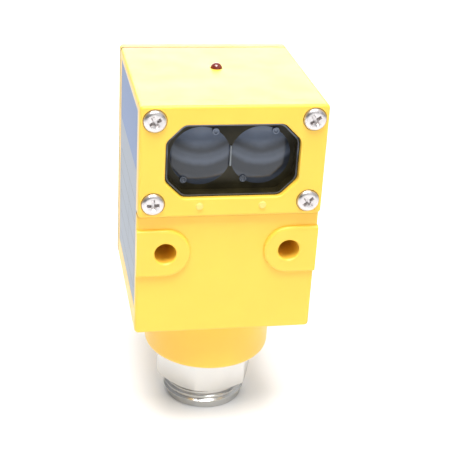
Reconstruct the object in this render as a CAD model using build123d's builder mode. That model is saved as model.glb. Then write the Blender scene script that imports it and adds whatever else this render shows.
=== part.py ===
"""Photoelectric sensor: a box-shaped plastic head with a twin lens in front, a round base collar
with a threaded quick-disconnect receptacle below, and two adjusters behind.

Frame: +Z up, front towards -Y, origin on the receptacle's axis at its lowest plane. Millimetres.
"""
from build123d import *
import math
import os

# ------------------------------------------------------------------ driving dimensions
# Head
body_width = 44.5
body_height = 60.2
front_face_depth = 22.5        # axis to the lower front face
bezel_front_depth = 24.0       # axis to the front of the bezel
wall = 2.2
outline_radius = 1.0
edge_radius = 0.7

# Base
collar_radius = 16.75
collar_height = 16.0
collar_edge_radius = 1.8
wire_passage_radius = 9.0

# Front optics
bezel_height = 27.8
bezel_thickness = 3.5
window_width = 32.0
window_height = 18.4
window_corner_cut = 4.2
window_corner_radius = 2.4
window_edge_radius = 0.45
lens_side_margin = 1.5         # from the window's side to the lens beside it
lens_overlap = 0.1             # how far each lens reaches past the middle
lens_bulge = 1.1
lens_recess = 1.2              # from the bezel's front to the rim of the lens block
lens_pocket_depth = 3.0        # from that rim to the floor that the lenses stand on
lens_pocket_wall = 0.5
lens_floor_thickness = 0.9
lens_flange_thickness = 1.5
lens_flange_overlap = 1.6
lens_back_step = 0.5           # from the barrel's bore to the lens's back dome
lens_back_bulge = 0.8
lens_dome_root = 0.2
seat_wall = 4.0
pip_spacing = 15.2
pip_drop = 2.0                 # below the window
pip_radius = 0.9
pip_height = 0.35
gasket_thickness = 0.95
gasket_inset = 0.4
gasket_width = 1.2
barrel_middle_wall = 0.6       # between the two bores
barrel_back_wall = 3.0
barrel_shoulder = 1.6
barrel_front_gap = 1.3          # from the lens block's back to the barrel

# Mounting holes, front to back
mount_spacing = 30.5
mount_drop = 37.8              # from the top of the head to the holes
mount_hole_radius = 2.65
mount_pad_radius = 6.2
mount_pad_height = 1.0
pad_edge_radius = 0.7
mount_hole_chamfer = 0.3
mount_tube_radius = 5.2

# Cover screws
screw_inset = 3.55
screw_radius = 1.5
screw_head_radius = 2.75
screw_head_height = 1.5
screw_head_sink = 0.6
bezel_screw_length = 10.0
rear_screw_length = 9.0
boss_radius = 3.0
boss_depth = 8.0
boss_floor = 0.6               # left behind the end of each screw hole

# Rear cover and its gasket
rear_cover_thickness = 3.0
rear_gasket_thickness = 0.8
panel_width = 34.0
panel_height = 14.0
panel_recess = 0.8
panel_corner_radius = 2.0
rear_plate_thickness = 0.3
rear_plate_hole_radius = 3.2

# Adjusters
adjuster_spacing = 18.0
adjuster_drop = 14.0           # from the top of the head to the adjusters
rotor_radius = 2.6
rotor_clearance = 0.05
rotor_spigot_radius = 1.4
rotor_spigot_depth = 3.0
rotor_end_play = 0.1
rotor_flange_radius = 3.4
rotor_flange_thickness = 1.1
rotor_edge = 0.25
rotor_slot_width = 0.9
rotor_slot_depth = 1.0
rotor_stand_back = 0.4         # from the rear plane to the rotor's end
seal_section = 0.9
adjuster_body_size = 9.6
adjuster_body_depth = 4.8
adjuster_corner_radius = 0.4
adjuster_ring_radius = 3.0
adjuster_ring_height = 0.25

# Boards
optics_board_thickness = 1.0
optics_board_front = -1.5
optics_board_width = 33.0
optics_board_height = 19.0
main_board_thickness = 1.6
main_board_front = 12.9
board_edge_gap = 1.0
board_hole_gap = 0.5
ledge_drop = 28.7              # from the top of the head to the main board's screws
ledge_inset = 5.1              # from the head's side to those screws
ledge_reach = 8.1
ledge_width = 4.8

# Small screws, pins and components on the boards
small_screw_radius = 1.0
small_screw_length = 4.0
board_screw_length = 6.0
small_head_radius = 1.9
small_head_height = 1.2
optics_screw_points = [(-13.4, -3.2), (13.4, 3.2)]
optics_foot_points = [(x, z) for x in (-13.4, 13.4) for z in (-3.2, 3.2)]
optics_foot_size = 3.4
header_drop = 6.9              # below the lenses' axes
header_pin_count = 6
header_pin_size = 0.6
header_pin_end = 1.1
lead_hole_radius = 0.5
chip_lift = 0.1
chip_leg_reach = 1.05
chip_leg_pitch = 1.27
chip_leg_width = 0.4
chip_leg_thickness = 0.2
chip_thickness = 1.5
chip_edge = 0.25
large_chip_width = 4.0
large_chip_length = 9.9
large_chip_legs = 7
small_chip_width = 3.9
small_chip_length = 4.9
small_chip_legs = 4
chip_tube_gap = 1.0            # from a mounting hole's tube to the chip beside it
chip_tube_drop = 0.5           # from a mounting hole's tube to the chip below it
upper_chip_height = 61.0
lower_chip_across = 9.0
small_chip_points = [(-8.0, 46.5)]
capacitor_radius = 3.15
capacitor_length = 7.0
capacitor_edge_radius = 0.4
capacitor_spacing = 23.0
capacitor_drop = 8.9           # from the top of the head
resistor_points = [(-4.0, 62.0), (0.0, 62.0), (4.0, 62.0), (-4.0, 59.0), (0.0, 59.0), (4.0, 59.0)]
transistor_height = 39.0
transistor_width = 6.5
transistor_reach = 6.1
transistor_thickness = 2.3
resistor_size = (3.2, 1.6, 0.6)

# Indicator
indicator_depth = 4.0          # behind the receptacle's axis
indicator_radius = 1.5
indicator_length = 5.3
indicator_stand = 1.3          # how far the dome stands above the head
indicator_flange_radius = 1.9
indicator_seal_thickness = 0.8
indicator_lead_drop = 7.7      # from the top of the head to the leads' holes
indicator_lead_bend = 3.0

# Emitter and receiver
diode_radius = 2.5
diode_length = 8.6
diode_flange_radius = 2.9
diode_flange_thickness = 1.0
diode_stand_off = 0.5
lead_size = 0.5
lead_spacing = 2.54
lead_end = 0.8                 # beyond the board

# Receptacle
connector_length = 16.0        # below the collar
connector_thread_radius = 11.11
connector_thread_length = 6.4
connector_hex_flats = 24.0
connector_hex_turn = 11.0       # degrees, from the X axis to a corner
connector_hex_ease = 0.1        # how far the turned-down corners reach into the flats
connector_hex_slope = 30.0      # degrees, of the turned-down corners
connector_shank_radius = 10.0
connector_shank_length = 11.0
connector_bore_radius = 8.6
connector_thread_pitch = 1.5875
connector_thread_groove = 0.55
connector_thread_start = 1.6     # from the mouth to the first groove
connector_groove_half_width = 0.6
connector_mouth_chamfer = 0.7
connector_back_radius = 7.6
key_width = 2.0
key_depth = 0.9
key_inset = 2.0
insert_face_height = 8.8       # from the mouth to the insert's face
insert_length = 12.0
pin_radius = 0.9
pin_circle_radius = 4.9
pin_recess = 1.6               # from the mouth to the pins' tips
pin_cup_radius = 1.25
pin_cup_length = 4.0
pin_cup_depth = 3.0
base_seal_section = 1.5

# Labels
label_depth = 39.0
label_height = 52.0
label_thickness = 0.2
label_recess = 0.25
label_top_gap = 2.0
label_front_gap = 2.0

# Wires
wire_radius = 0.65
conductor_radius = 0.45
front_wire_height = 50.0
rear_wire_height = 44.0
front_wire_bend = 12.0
rear_wire_bend = 6.5
wire_strip = 1.0
wire_colours = ("brown", "white", "blue", "black")

fit_gap = 0.1                  # between pieces that slide together
touch_gap = 0.02               # between round pieces that are fixed together

# ------------------------------------------------------------------ derived places
collar_bottom = connector_length
body_bottom = collar_bottom + collar_height
body_top = body_bottom + body_height
body_middle = (body_bottom + body_top) / 2

# The back stands as far behind the axis as the screw heads stand in front of it
rear_plane_depth = bezel_front_depth + screw_head_height - screw_head_sink
rear_rim = rear_plane_depth - rear_cover_thickness - rear_gasket_thickness
bezel_back = bezel_thickness - bezel_front_depth
seat_back = bezel_back + seat_wall
lens_centre_height = body_top - bezel_height / 2
bezel_bottom = body_top - bezel_height
lens_radius = (window_width / 2 - lens_side_margin + lens_overlap) / 2
lens_spacing = 2 * (lens_radius - lens_overlap)
barrel_bore_radius = (lens_spacing - barrel_middle_wall) / 2
lens_back_radius = barrel_bore_radius - lens_back_step
header_height = lens_centre_height - header_drop
indicator_lead_height = body_top - indicator_lead_drop
inner_half_width = body_width / 2 - wall
inner_bottom = body_bottom + wall
inner_top = body_top - wall

screw_x = body_width / 2 - screw_inset
bezel_screw_half_height = bezel_height / 2 - screw_inset
rear_screw_half_height = body_height / 2 - screw_inset

mount_height = body_top - mount_drop
adjuster_height = body_top - adjuster_drop
rotor_end = rear_plane_depth - rotor_stand_back
main_board_back = main_board_front + main_board_thickness
adjuster_body_back = main_board_back + adjuster_body_depth
ledge_x = body_width / 2 - ledge_inset
ledge_height = body_top - ledge_drop
optics_board_back = optics_board_front + optics_board_thickness
diode_base = optics_board_front - diode_stand_off
block_back = diode_base - diode_flange_thickness
lens_rim = lens_recess - bezel_front_depth
lens_floor = lens_rim + lens_pocket_depth
lens_back = lens_floor + lens_floor_thickness
block_front = lens_back + barrel_front_gap
indicator_base = body_top + indicator_stand - indicator_length
shank_top = collar_bottom + connector_shank_length
hex_turned_radius = connector_hex_flats / 2 - connector_hex_ease
hex_corner_radius = connector_hex_flats / math.sqrt(3) + fit_gap
hex_corner_rise = (hex_corner_radius - hex_turned_radius) * math.tan(math.radians(connector_hex_slope))
insert_top = insert_face_height + insert_length
pin_offset = pin_circle_radius / math.sqrt(2)
cup_top = insert_top + pin_cup_length
conductor_bottom = cup_top - pin_cup_depth
seat_depth = rear_plane_depth - screw_head_height - fit_gap
bezel_screw_seat = screw_head_sink - bezel_front_depth
rear_cover_front = rear_plane_depth - rear_cover_thickness
panel_floor = rear_plane_depth - panel_recess
rotor_flange_front = rear_cover_front - rotor_end_play - rotor_flange_thickness
seal_inner_radius = rotor_radius + rotor_clearance
seal_pocket_radius = seal_inner_radius + seal_section + touch_gap
gain_x = -adjuster_spacing / 2
selector_x = adjuster_spacing / 2

mount_points = [(side * mount_spacing / 2, mount_height) for side in (-1, 1)]
bezel_screw_points = [
    (side * screw_x, lens_centre_height + row * bezel_screw_half_height)
    for side in (-1, 1)
    for row in (-1, 1)
]
rear_screw_points = [
    (side * screw_x, body_middle + row * rear_screw_half_height)
    for side in (-1, 1)
    for row in (-1, 1)
]
ledge_points = [(side * ledge_x, ledge_height) for side in (-1, 1)]
capacitor_points = [(side * capacitor_spacing / 2, body_top - capacitor_drop) for side in (-1, 1)]
chip_half_width = large_chip_width / 2 + chip_leg_reach
upper_chip_across = chip_tube_gap + mount_tube_radius + chip_half_width - mount_spacing / 2
lower_chip_height = mount_height - mount_tube_radius - chip_tube_drop - large_chip_length / 2
large_chip_points = [(upper_chip_across, upper_chip_height), (lower_chip_across, lower_chip_height)]
lens_across = [side * lens_spacing / 2 for side in (-1, 1)]
rotor_points = [(x, adjuster_height) for x in (gain_x, selector_x)]
header_across = [(step - (header_pin_count - 1) / 2) * lead_spacing for step in range(header_pin_count)]
header_points = [(x, header_height) for x in header_across]
wire_points = [(x, z) for x in (-pin_offset, pin_offset) for z in (front_wire_height, rear_wire_height)]
indicator_points = [(side * lead_spacing / 2, indicator_lead_height) for side in (-1, 1)]
adjuster_lead_points = [
    (x + step * lead_spacing, adjuster_height - adjuster_body_size / 2 + 1.2)
    for x in (gain_x, selector_x)
    for step in (-1, 0, 1)
]

os.makedirs("parts", exist_ok=True)


# ------------------------------------------------------------------ helpers
def facing_front(depth, height=0.0, across=0.0):
    """A plane at Y = depth whose normal points to the front, with local Y up."""
    return Plane(origin=(across, depth, height), x_dir=(1, 0, 0), z_dir=(0, -1, 0))


def facing_rear(depth, height=0.0, across=0.0):
    """A plane at Y = depth whose normal points to the rear, with local Y up."""
    return Plane(origin=(across, depth, height), x_dir=(-1, 0, 0), z_dir=(0, 1, 0))


def facing_up(height, across=0.0, depth=0.0):
    """A plane at Z = height whose normal points up."""
    return Plane(origin=(across, depth, height), x_dir=(1, 0, 0), z_dir=(0, 0, 1))


def label_plane(side):
    """The floor of a side label's recess, on the left for -1 and on the right for 1."""
    middle_depth = label_front_gap + label_depth / 2 - front_face_depth
    middle_height = body_top - label_top_gap - label_height / 2
    origin = (side * (body_width / 2 - label_recess), middle_depth, middle_height)
    return Plane(origin=origin, x_dir=(0, 1, 0), z_dir=(side, 0, 0))


def window_outline(grow=0.0):
    """The window's shape, a rectangle with its corners cut and rounded, grown by this much."""
    half_width = window_width / 2 + grow
    half_height = window_height / 2 + grow
    cut = window_corner_cut + grow * (2 - math.sqrt(2))
    with BuildSketch(Plane.XY) as window:
        with BuildLine():
            Polyline(
                (half_width - cut, half_height),
                (half_width, half_height - cut),
                (half_width, cut - half_height),
                (half_width - cut, -half_height),
                (cut - half_width, -half_height),
                (-half_width, cut - half_height),
                (-half_width, half_height - cut),
                (cut - half_width, half_height),
                close=True,
            )
        make_face()
        fillet(window.vertices(), window_corner_radius)
    return window.sketch


def export(part, name):
    """Labels a finished piece and writes its STEP file."""
    part.label = name
    export_step(part, f"parts/{name}.step")


def dome(radius, rise, base):
    """A cap of a ball on a round base, its flat at the origin and its top towards +Z."""
    ball = (radius**2 + rise**2) / (2 * rise)
    middle = radius / 2
    middle_height = rise - ball + math.sqrt(ball**2 - middle**2)
    with BuildPart() as cap:
        with BuildSketch(Plane.XZ):
            with BuildLine():
                Polyline((0, rise), (0, -base), (radius, -base), (radius, 0))
                ThreePointArc((radius, 0), (middle, middle_height), (0, rise))
            make_face()
        revolve(axis=Axis.Z)
    return cap.part


def ring(inner, outer):
    """A round seal lying flat, its underside at the origin."""
    section = (outer - inner) / 2
    with BuildPart() as seal:
        with BuildSketch(Plane.XZ):
            with Locations(((inner + outer) / 2, section)):
                Circle(section)
        revolve(axis=Axis.Z)
    return seal.part


def pan_screw(shank, length, head, head_height):
    """A cross-recessed pan head screw, its head's underside at the origin and its head towards +Z."""
    with BuildPart() as screw:
        Cylinder(head, head_height, align=(Align.CENTER, Align.CENTER, Align.MIN))
        fillet(screw.faces().sort_by(Axis.Z)[-1].edges(), head_height * 0.6)
        Cylinder(shank, length, align=(Align.CENTER, Align.CENTER, Align.MAX))
        chamfer(screw.faces().sort_by(Axis.Z)[0].edges(), shank * 0.3)
        for quarter in range(2):
            with BuildSketch(Plane.XY.offset(head_height)):
                Rectangle(head * 1.15, head * 0.27, rotation=quarter * 90)
            extrude(amount=-head_height * 0.8, taper=8, mode=Mode.SUBTRACT)
    return screw.part


# ------------------------------------------------------------------ housing
with BuildPart() as housing:
    # Outer block, with its round outline seen from the front
    with BuildSketch(facing_rear(-front_face_depth, body_middle)):
        RectangleRounded(body_width, body_height, outline_radius)
    extrude(amount=front_face_depth + rear_rim)
    # Step that the bezel sits in
    with BuildSketch(facing_front(bezel_back, lens_centre_height)):
        Rectangle(body_width, bezel_height)
    extrude(amount=front_face_depth, mode=Mode.SUBTRACT)
    # Soft edge round the lower front face
    fillet(
        housing.faces().sort_by(Axis.Y)[0].edges().filter_by(lambda e: e.center().Z < bezel_bottom - 0.1),
        edge_radius,
    )
    # Mounting pads, which run out through the sides
    with BuildSketch(facing_front(-front_face_depth)):
        for side in (-1, 1):
            with Locations((side * mount_spacing / 2, mount_height)):
                Circle(mount_pad_radius)
            reach = body_width / 2 - mount_spacing / 2
            with Locations((side * (mount_spacing + reach) / 2, mount_height)):
                Rectangle(reach, 2 * mount_pad_radius)
    extrude(amount=mount_pad_height, both=True)
    pad_faces = housing.faces().filter_by(Axis.Y).sort_by(Axis.Y)[:2]
    inner_edges = pad_faces.edges().filter_by(lambda e: abs(e.center().X) < body_width / 2 - fit_gap)
    fillet(inner_edges, pad_edge_radius)
    # Collar
    with BuildSketch(facing_up(collar_bottom)):
        Circle(collar_radius)
    extrude(amount=collar_height + wall / 2)
    fillet(housing.edges().sort_by(Axis.Z)[0], collar_edge_radius)
    # Cavity: the lower part reaches the front wall, the upper part stops at the lens seat
    with BuildSketch(facing_rear(wall - front_face_depth, (inner_bottom + bezel_bottom - wall) / 2)):
        Rectangle(2 * inner_half_width, bezel_bottom - wall - inner_bottom)
    extrude(amount=front_face_depth - wall + rear_rim, mode=Mode.SUBTRACT)
    with BuildSketch(facing_rear(seat_back, (inner_bottom + inner_top) / 2)):
        Rectangle(2 * inner_half_width, inner_top - inner_bottom)
    extrude(amount=rear_rim - seat_back, mode=Mode.SUBTRACT)
    # Bosses for the bezel's screws
    with BuildSketch(facing_rear(bezel_back + 1)):
        with Locations(bezel_screw_points):
            Circle(boss_radius)
    extrude(amount=boss_depth - 1)
    # Bosses for the rear cover's screws
    with BuildSketch(facing_front(rear_rim)):
        with Locations(rear_screw_points):
            Circle(boss_radius)
    extrude(amount=boss_depth)
    # Ledges for the main board
    with BuildSketch(facing_front(main_board_front)):
        with Locations([(side * (body_width / 2 - ledge_reach / 2), ledge_height) for side in (-1, 1)]):
            Rectangle(ledge_reach, ledge_width)
    extrude(amount=boss_depth)
    # Tubes round the mounting holes
    with BuildSketch(facing_rear(wall / 2 - front_face_depth)):
        with Locations([(-x, z) for x, z in mount_points]):
            Circle(mount_tube_radius)
    extrude(amount=front_face_depth - wall / 2 + rear_rim)
    # What the bosses left outside the block is trimmed away
    with BuildSketch(facing_rear(-bezel_front_depth, body_middle)):
        Rectangle(2 * body_width, body_height)
        RectangleRounded(body_width, body_height, outline_radius, mode=Mode.SUBTRACT)
    extrude(amount=bezel_front_depth + rear_rim, mode=Mode.SUBTRACT)
    # Window through the lens seat, and the gasket's groove
    with BuildSketch(facing_rear(bezel_back, lens_centre_height)):
        add(window_outline())
    extrude(amount=seat_wall, mode=Mode.SUBTRACT)
    with BuildSketch(facing_rear(bezel_back, lens_centre_height)):
        add(window_outline(gasket_inset + gasket_width + touch_gap))
        add(window_outline(gasket_inset - touch_gap), mode=Mode.SUBTRACT)
    extrude(amount=gasket_thickness, mode=Mode.SUBTRACT)
    # Screw holes
    with BuildSketch(facing_rear(bezel_back)):
        with Locations([(-x, z) for x, z in bezel_screw_points]):
            Circle(screw_radius + touch_gap)
    extrude(amount=boss_depth - boss_floor, mode=Mode.SUBTRACT)
    with BuildSketch(facing_front(rear_rim)):
        with Locations(rear_screw_points):
            Circle(screw_radius + touch_gap)
    extrude(amount=boss_depth - boss_floor, mode=Mode.SUBTRACT)
    with BuildSketch(facing_front(main_board_front)):
        with Locations(ledge_points):
            Circle(small_screw_radius + touch_gap)
    extrude(amount=boss_depth - boss_floor, mode=Mode.SUBTRACT)
    # Mounting holes, right through
    with BuildSketch(facing_rear(-bezel_front_depth)):
        with Locations([(-x, z) for x, z in mount_points]):
            Circle(mount_hole_radius)
    extrude(amount=bezel_front_depth + rear_rim, mode=Mode.SUBTRACT)
    mount_mouths = housing.edges().filter_by(GeomType.CIRCLE).sort_by(Axis.Y)[: len(mount_points)]
    chamfer(mount_mouths, mount_hole_chamfer)
    # Indicator hole
    with BuildSketch(facing_up(inner_top, 0.0, indicator_depth)):
        Circle(indicator_radius + fit_gap)
    extrude(amount=wall, mode=Mode.SUBTRACT)
    # Receptacle's bore, its seal's groove and the wires' passage
    with BuildSketch(facing_up(collar_bottom)):
        Circle(connector_shank_radius + touch_gap)
    extrude(amount=connector_shank_length, mode=Mode.SUBTRACT)
    with BuildSketch(facing_up(collar_bottom)):
        Circle(connector_shank_radius + base_seal_section + 2 * touch_gap)
    extrude(amount=base_seal_section, mode=Mode.SUBTRACT)
    with BuildSketch(facing_up(shank_top)):
        Circle(wire_passage_radius)
    extrude(amount=inner_bottom - shank_top, mode=Mode.SUBTRACT)
    # Label recesses
    for side in (-1, 1):
        with BuildSketch(label_plane(side)):
            Rectangle(label_depth, label_height)
        extrude(amount=body_width / 2, mode=Mode.SUBTRACT)
export(housing.part, "housing")

# ------------------------------------------------------------------ bezel and lens
with BuildPart() as bezel:
    with BuildSketch(facing_front(bezel_back, lens_centre_height)):
        RectangleRounded(body_width, bezel_height, outline_radius)
    extrude(amount=bezel_thickness)
    fillet(bezel.faces().sort_by(Axis.Y)[0].edges(), edge_radius)
    # Window, opened out behind for the lens block's flange
    with BuildSketch(facing_front(bezel_back, lens_centre_height)):
        add(window_outline())
    extrude(amount=bezel_thickness, mode=Mode.SUBTRACT)
    window_rim = bezel.faces().sort_by(Axis.Y)[0].inner_wires()
    fillet(window_rim.edges(), window_edge_radius)
    with BuildSketch(facing_front(bezel_back, lens_centre_height)):
        add(window_outline(lens_flange_overlap + fit_gap))
    extrude(amount=lens_flange_thickness, mode=Mode.SUBTRACT)
    # Recesses and holes for the screws
    with BuildSketch(facing_front(screw_head_sink - bezel_front_depth)):
        with Locations(bezel_screw_points):
            Circle(screw_head_radius + fit_gap)
    extrude(amount=screw_head_sink, mode=Mode.SUBTRACT)
    with BuildSketch(facing_front(bezel_back)):
        with Locations(bezel_screw_points):
            Circle(screw_radius + fit_gap)
    extrude(amount=bezel_thickness, mode=Mode.SUBTRACT)
    # Two small pips under the window
    with BuildSketch(facing_front(-bezel_front_depth, lens_centre_height)):
        with Locations([(side * pip_spacing / 2, -window_height / 2 - pip_drop) for side in (-1, 1)]):
            Circle(pip_radius)
    extrude(amount=pip_height, taper=25)
export(bezel.part, "bezel")

with BuildPart() as lens_block:
    with BuildSketch(facing_front(bezel_back, lens_centre_height)):
        add(window_outline(lens_flange_overlap))
    extrude(amount=lens_flange_thickness)
    with BuildSketch(facing_front(lens_back, lens_centre_height)):
        add(window_outline(-fit_gap))
    extrude(amount=lens_back - lens_rim)
    # The pocket in front
    with BuildSketch(facing_front(lens_floor, lens_centre_height)):
        add(window_outline(-fit_gap - lens_pocket_wall))
    extrude(amount=lens_pocket_depth, mode=Mode.SUBTRACT)
    # Two domes on the pocket's floor and two behind it
    with Locations(*[facing_front(lens_floor, lens_centre_height, x) for x in lens_across]):
        add(dome(lens_radius, lens_bulge, lens_dome_root))
    with Locations(*[facing_rear(lens_back, lens_centre_height, x) for x in lens_across]):
        add(dome(lens_back_radius, lens_back_bulge, lens_dome_root))
export(lens_block.part, "lens_block")

with BuildPart() as lens_gasket:
    with BuildSketch(facing_rear(bezel_back, lens_centre_height)):
        add(window_outline(gasket_inset + gasket_width))
        add(window_outline(gasket_inset), mode=Mode.SUBTRACT)
    extrude(amount=gasket_thickness)
export(lens_gasket.part, "lens_gasket")

with BuildPart() as bezel_screws:
    with Locations(*[facing_front(bezel_screw_seat, z, x) for x, z in bezel_screw_points]):
        add(pan_screw(screw_radius, bezel_screw_length, screw_head_radius, screw_head_height))
export(bezel_screws.part, "bezel_screws")

# ------------------------------------------------------------------ optics behind the lens
with BuildPart() as optics_barrel:
    with BuildSketch(facing_rear(block_front, lens_centre_height)):
        add(window_outline(-2.5 * fit_gap))
    extrude(amount=block_back - block_front)
    # Shoulder against the back of the seat
    with BuildSketch(facing_rear(seat_back, lens_centre_height)):
        add(window_outline(barrel_shoulder))
    extrude(amount=barrel_shoulder)
    # Two tapering bores behind the lenses, then the diodes' bores
    for x in lens_across:
        with BuildSketch(facing_rear(block_front, lens_centre_height, x)):
            Circle(barrel_bore_radius)
        with BuildSketch(facing_rear(block_back - barrel_back_wall, lens_centre_height, x)):
            Circle(diode_radius + touch_gap)
        loft(mode=Mode.SUBTRACT)
        with BuildSketch(facing_front(block_back, lens_centre_height, x)):
            Circle(diode_radius + touch_gap)
        extrude(amount=barrel_back_wall, mode=Mode.SUBTRACT)
    # Four feet that the optics board sits on
    with BuildSketch(facing_rear(block_back, lens_centre_height)):
        with Locations(optics_foot_points):
            Rectangle(optics_foot_size, optics_foot_size)
    extrude(amount=optics_board_front - block_back)
    with BuildSketch(facing_front(optics_board_front, lens_centre_height)):
        with Locations(optics_screw_points):
            Circle(small_screw_radius + touch_gap)
    extrude(amount=small_screw_length, mode=Mode.SUBTRACT)
export(optics_barrel.part, "optics_barrel")

with BuildPart() as optics_board:
    with BuildSketch(facing_front(optics_board_back, lens_centre_height)):
        RectangleRounded(optics_board_width, optics_board_height, outline_radius)
        with Locations(optics_screw_points):
            Circle(small_screw_radius + fit_gap, mode=Mode.SUBTRACT)
        with Locations([(x + step * lead_spacing / 2, 0) for x in lens_across for step in (-1, 1)]):
            Circle(lead_hole_radius, mode=Mode.SUBTRACT)
        with Locations([(x, header_height - lens_centre_height) for x in header_across]):
            Circle(lead_hole_radius, mode=Mode.SUBTRACT)
    extrude(amount=optics_board_thickness)
export(optics_board.part, "optics_board")


def round_diode(base_radius, radius, length, flange):
    """A round diode's body, its base at the origin and its dome towards +Z."""
    with BuildPart() as body:
        Cylinder(base_radius, flange, align=(Align.CENTER, Align.CENTER, Align.MIN))
        Cylinder(radius, length - radius, align=(Align.CENTER, Align.CENTER, Align.MIN))
        with Locations((0, 0, length - radius)):
            Sphere(radius)
    return body.part


def straight_leads(length):
    """Two square leads going down from the origin."""
    with BuildPart() as leads:
        with Locations([(step * lead_spacing / 2, 0) for step in (-1, 1)]):
            Box(lead_size, lead_size, length, align=(Align.CENTER, Align.CENTER, Align.MAX))
    return leads.part


for x, name in ((lens_across[0], "emitter"), (lens_across[1], "receiver")):
    with BuildPart() as diode:
        with Locations(facing_front(diode_base, lens_centre_height, x)):
            add(round_diode(diode_flange_radius, diode_radius, diode_length, diode_flange_thickness))
    export(diode.part, name)

with BuildPart() as diode_leads:
    with Locations(*[facing_front(diode_base, lens_centre_height, x) for x in lens_across]):
        add(straight_leads(diode_stand_off + optics_board_thickness + lead_end))
export(diode_leads.part, "diode_leads")

with BuildPart() as optics_screws:
    board_planes = [facing_rear(optics_board_back, lens_centre_height + z, x) for x, z in optics_screw_points]
    with Locations(*board_planes):
        add(pan_screw(small_screw_radius, small_screw_length, small_head_radius, small_head_height))
export(optics_screws.part, "optics_screws")

# ------------------------------------------------------------------ main board
with BuildPart() as main_board:
    with BuildSketch(facing_front(main_board_back)):
        with Locations((0, (inner_bottom + inner_top) / 2)):
            RectangleRounded(
                2 * (inner_half_width - board_edge_gap),
                inner_top - inner_bottom - 2 * board_edge_gap,
                outline_radius,
            )
        with Locations(mount_points):
            Circle(mount_tube_radius + board_hole_gap, mode=Mode.SUBTRACT)
        with Locations(rear_screw_points):
            Circle(boss_radius + board_hole_gap, mode=Mode.SUBTRACT)
        with Locations([(side * inner_half_width, mount_height) for side in (-1, 1)]):
            Rectangle(mount_tube_radius, 2 * mount_tube_radius, mode=Mode.SUBTRACT)
        with Locations(ledge_points):
            Circle(small_screw_radius + fit_gap, mode=Mode.SUBTRACT)
        with Locations(header_points + adjuster_lead_points + indicator_points):
            Circle(lead_hole_radius, mode=Mode.SUBTRACT)
        with Locations(wire_points):
            Circle(conductor_radius + touch_gap, mode=Mode.SUBTRACT)
    extrude(amount=main_board_thickness)
export(main_board.part, "main_board")

with BuildPart() as board_screws:
    with Locations(*[facing_rear(main_board_back, z, x) for x, z in ledge_points]):
        add(pan_screw(small_screw_radius, board_screw_length, small_head_radius, small_head_height))
export(board_screws.part, "board_screws")

with BuildPart() as header_block:
    with BuildSketch(facing_rear(optics_board_back, header_height)):
        Rectangle(lead_spacing * len(header_across), lead_spacing)
        with Locations([(x, 0) for x in header_across]):
            Rectangle(header_pin_size + touch_gap, header_pin_size + touch_gap, mode=Mode.SUBTRACT)
    extrude(amount=main_board_front - optics_board_back)
export(header_block.part, "header_block")

with BuildPart() as header_pins:
    with BuildSketch(facing_rear(optics_board_front - header_pin_end, header_height)):
        with Locations([(x, 0) for x in header_across]):
            Rectangle(header_pin_size, header_pin_size)
    extrude(amount=main_board_back - optics_board_front + 2 * header_pin_end)
export(header_pins.part, "header_pins")


def chip(width, height, legs):
    """A chip's body and its legs, lying on the origin with their tops towards +Z."""
    with BuildPart() as body:
        with Locations((0, 0, chip_lift)):
            Box(width, height, chip_thickness, align=(Align.CENTER, Align.CENTER, Align.MIN))
        chamfer(body.faces().sort_by(Axis.Z)[-1].edges(), chip_edge)
    rows = [(row - (legs - 1) / 2) * chip_leg_pitch for row in range(legs)]
    with BuildPart() as feet:
        for side in (-1, 1):
            for row in rows:
                root = side * width / 2
                knee = root + side * chip_leg_reach / 2
                toe = root + side * chip_leg_reach
                with BuildSketch(Plane(origin=(0, row, 0), x_dir=(1, 0, 0), z_dir=(0, -1, 0))):
                    with BuildLine():
                        Polyline(
                            (root, chip_thickness / 2 + chip_leg_thickness),
                            (knee, chip_thickness / 2 + chip_leg_thickness),
                            (knee, chip_leg_thickness),
                            (toe, chip_leg_thickness),
                            (toe, 0),
                            (knee - side * chip_leg_thickness, 0),
                            (knee - side * chip_leg_thickness, chip_thickness / 2),
                            (root, chip_thickness / 2),
                            close=True,
                        )
                    make_face()
                extrude(amount=chip_leg_width / 2, both=True)
    return body.part, feet.part


large_chip, large_legs = chip(large_chip_width, large_chip_length, large_chip_legs)
small_chip, small_legs = chip(small_chip_width, small_chip_length, small_chip_legs)
large_chip_places = [facing_front(main_board_front, z, x) for x, z in large_chip_points]
small_chip_places = [facing_rear(main_board_back, z, x) for x, z in small_chip_points]
with BuildPart() as chips:
    with Locations(*large_chip_places):
        add(large_chip)
    with Locations(*small_chip_places):
        add(small_chip)
export(chips.part, "chips")

with BuildPart() as chip_legs:
    with Locations(*large_chip_places):
        add(large_legs)
    with Locations(*small_chip_places):
        add(small_legs)
export(chip_legs.part, "chip_legs")

with BuildPart() as capacitors:
    with Locations(*[facing_front(main_board_front, z, x) for x, z in capacitor_points]):
        Cylinder(capacitor_radius, capacitor_length, align=(Align.CENTER, Align.CENTER, Align.MIN))
    fillet(capacitors.faces().sort_by(Axis.Y)[: len(capacitor_points)].edges(), capacitor_edge_radius)
export(capacitors.part, "capacitors")

with BuildPart() as resistors:
    with Locations(*[facing_rear(main_board_back, z, x) for x, z in resistor_points]):
        Box(*resistor_size, align=(Align.CENTER, Align.CENTER, Align.MIN))
export(resistors.part, "resistors")

with BuildPart() as output_transistor:
    with BuildSketch(facing_rear(main_board_back, transistor_height)):
        Rectangle(transistor_width, transistor_reach)
    extrude(amount=transistor_thickness)
    chamfer(output_transistor.faces().sort_by(Axis.Y)[-1].edges(), chip_edge)
export(output_transistor.part, "output_transistor")

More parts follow.
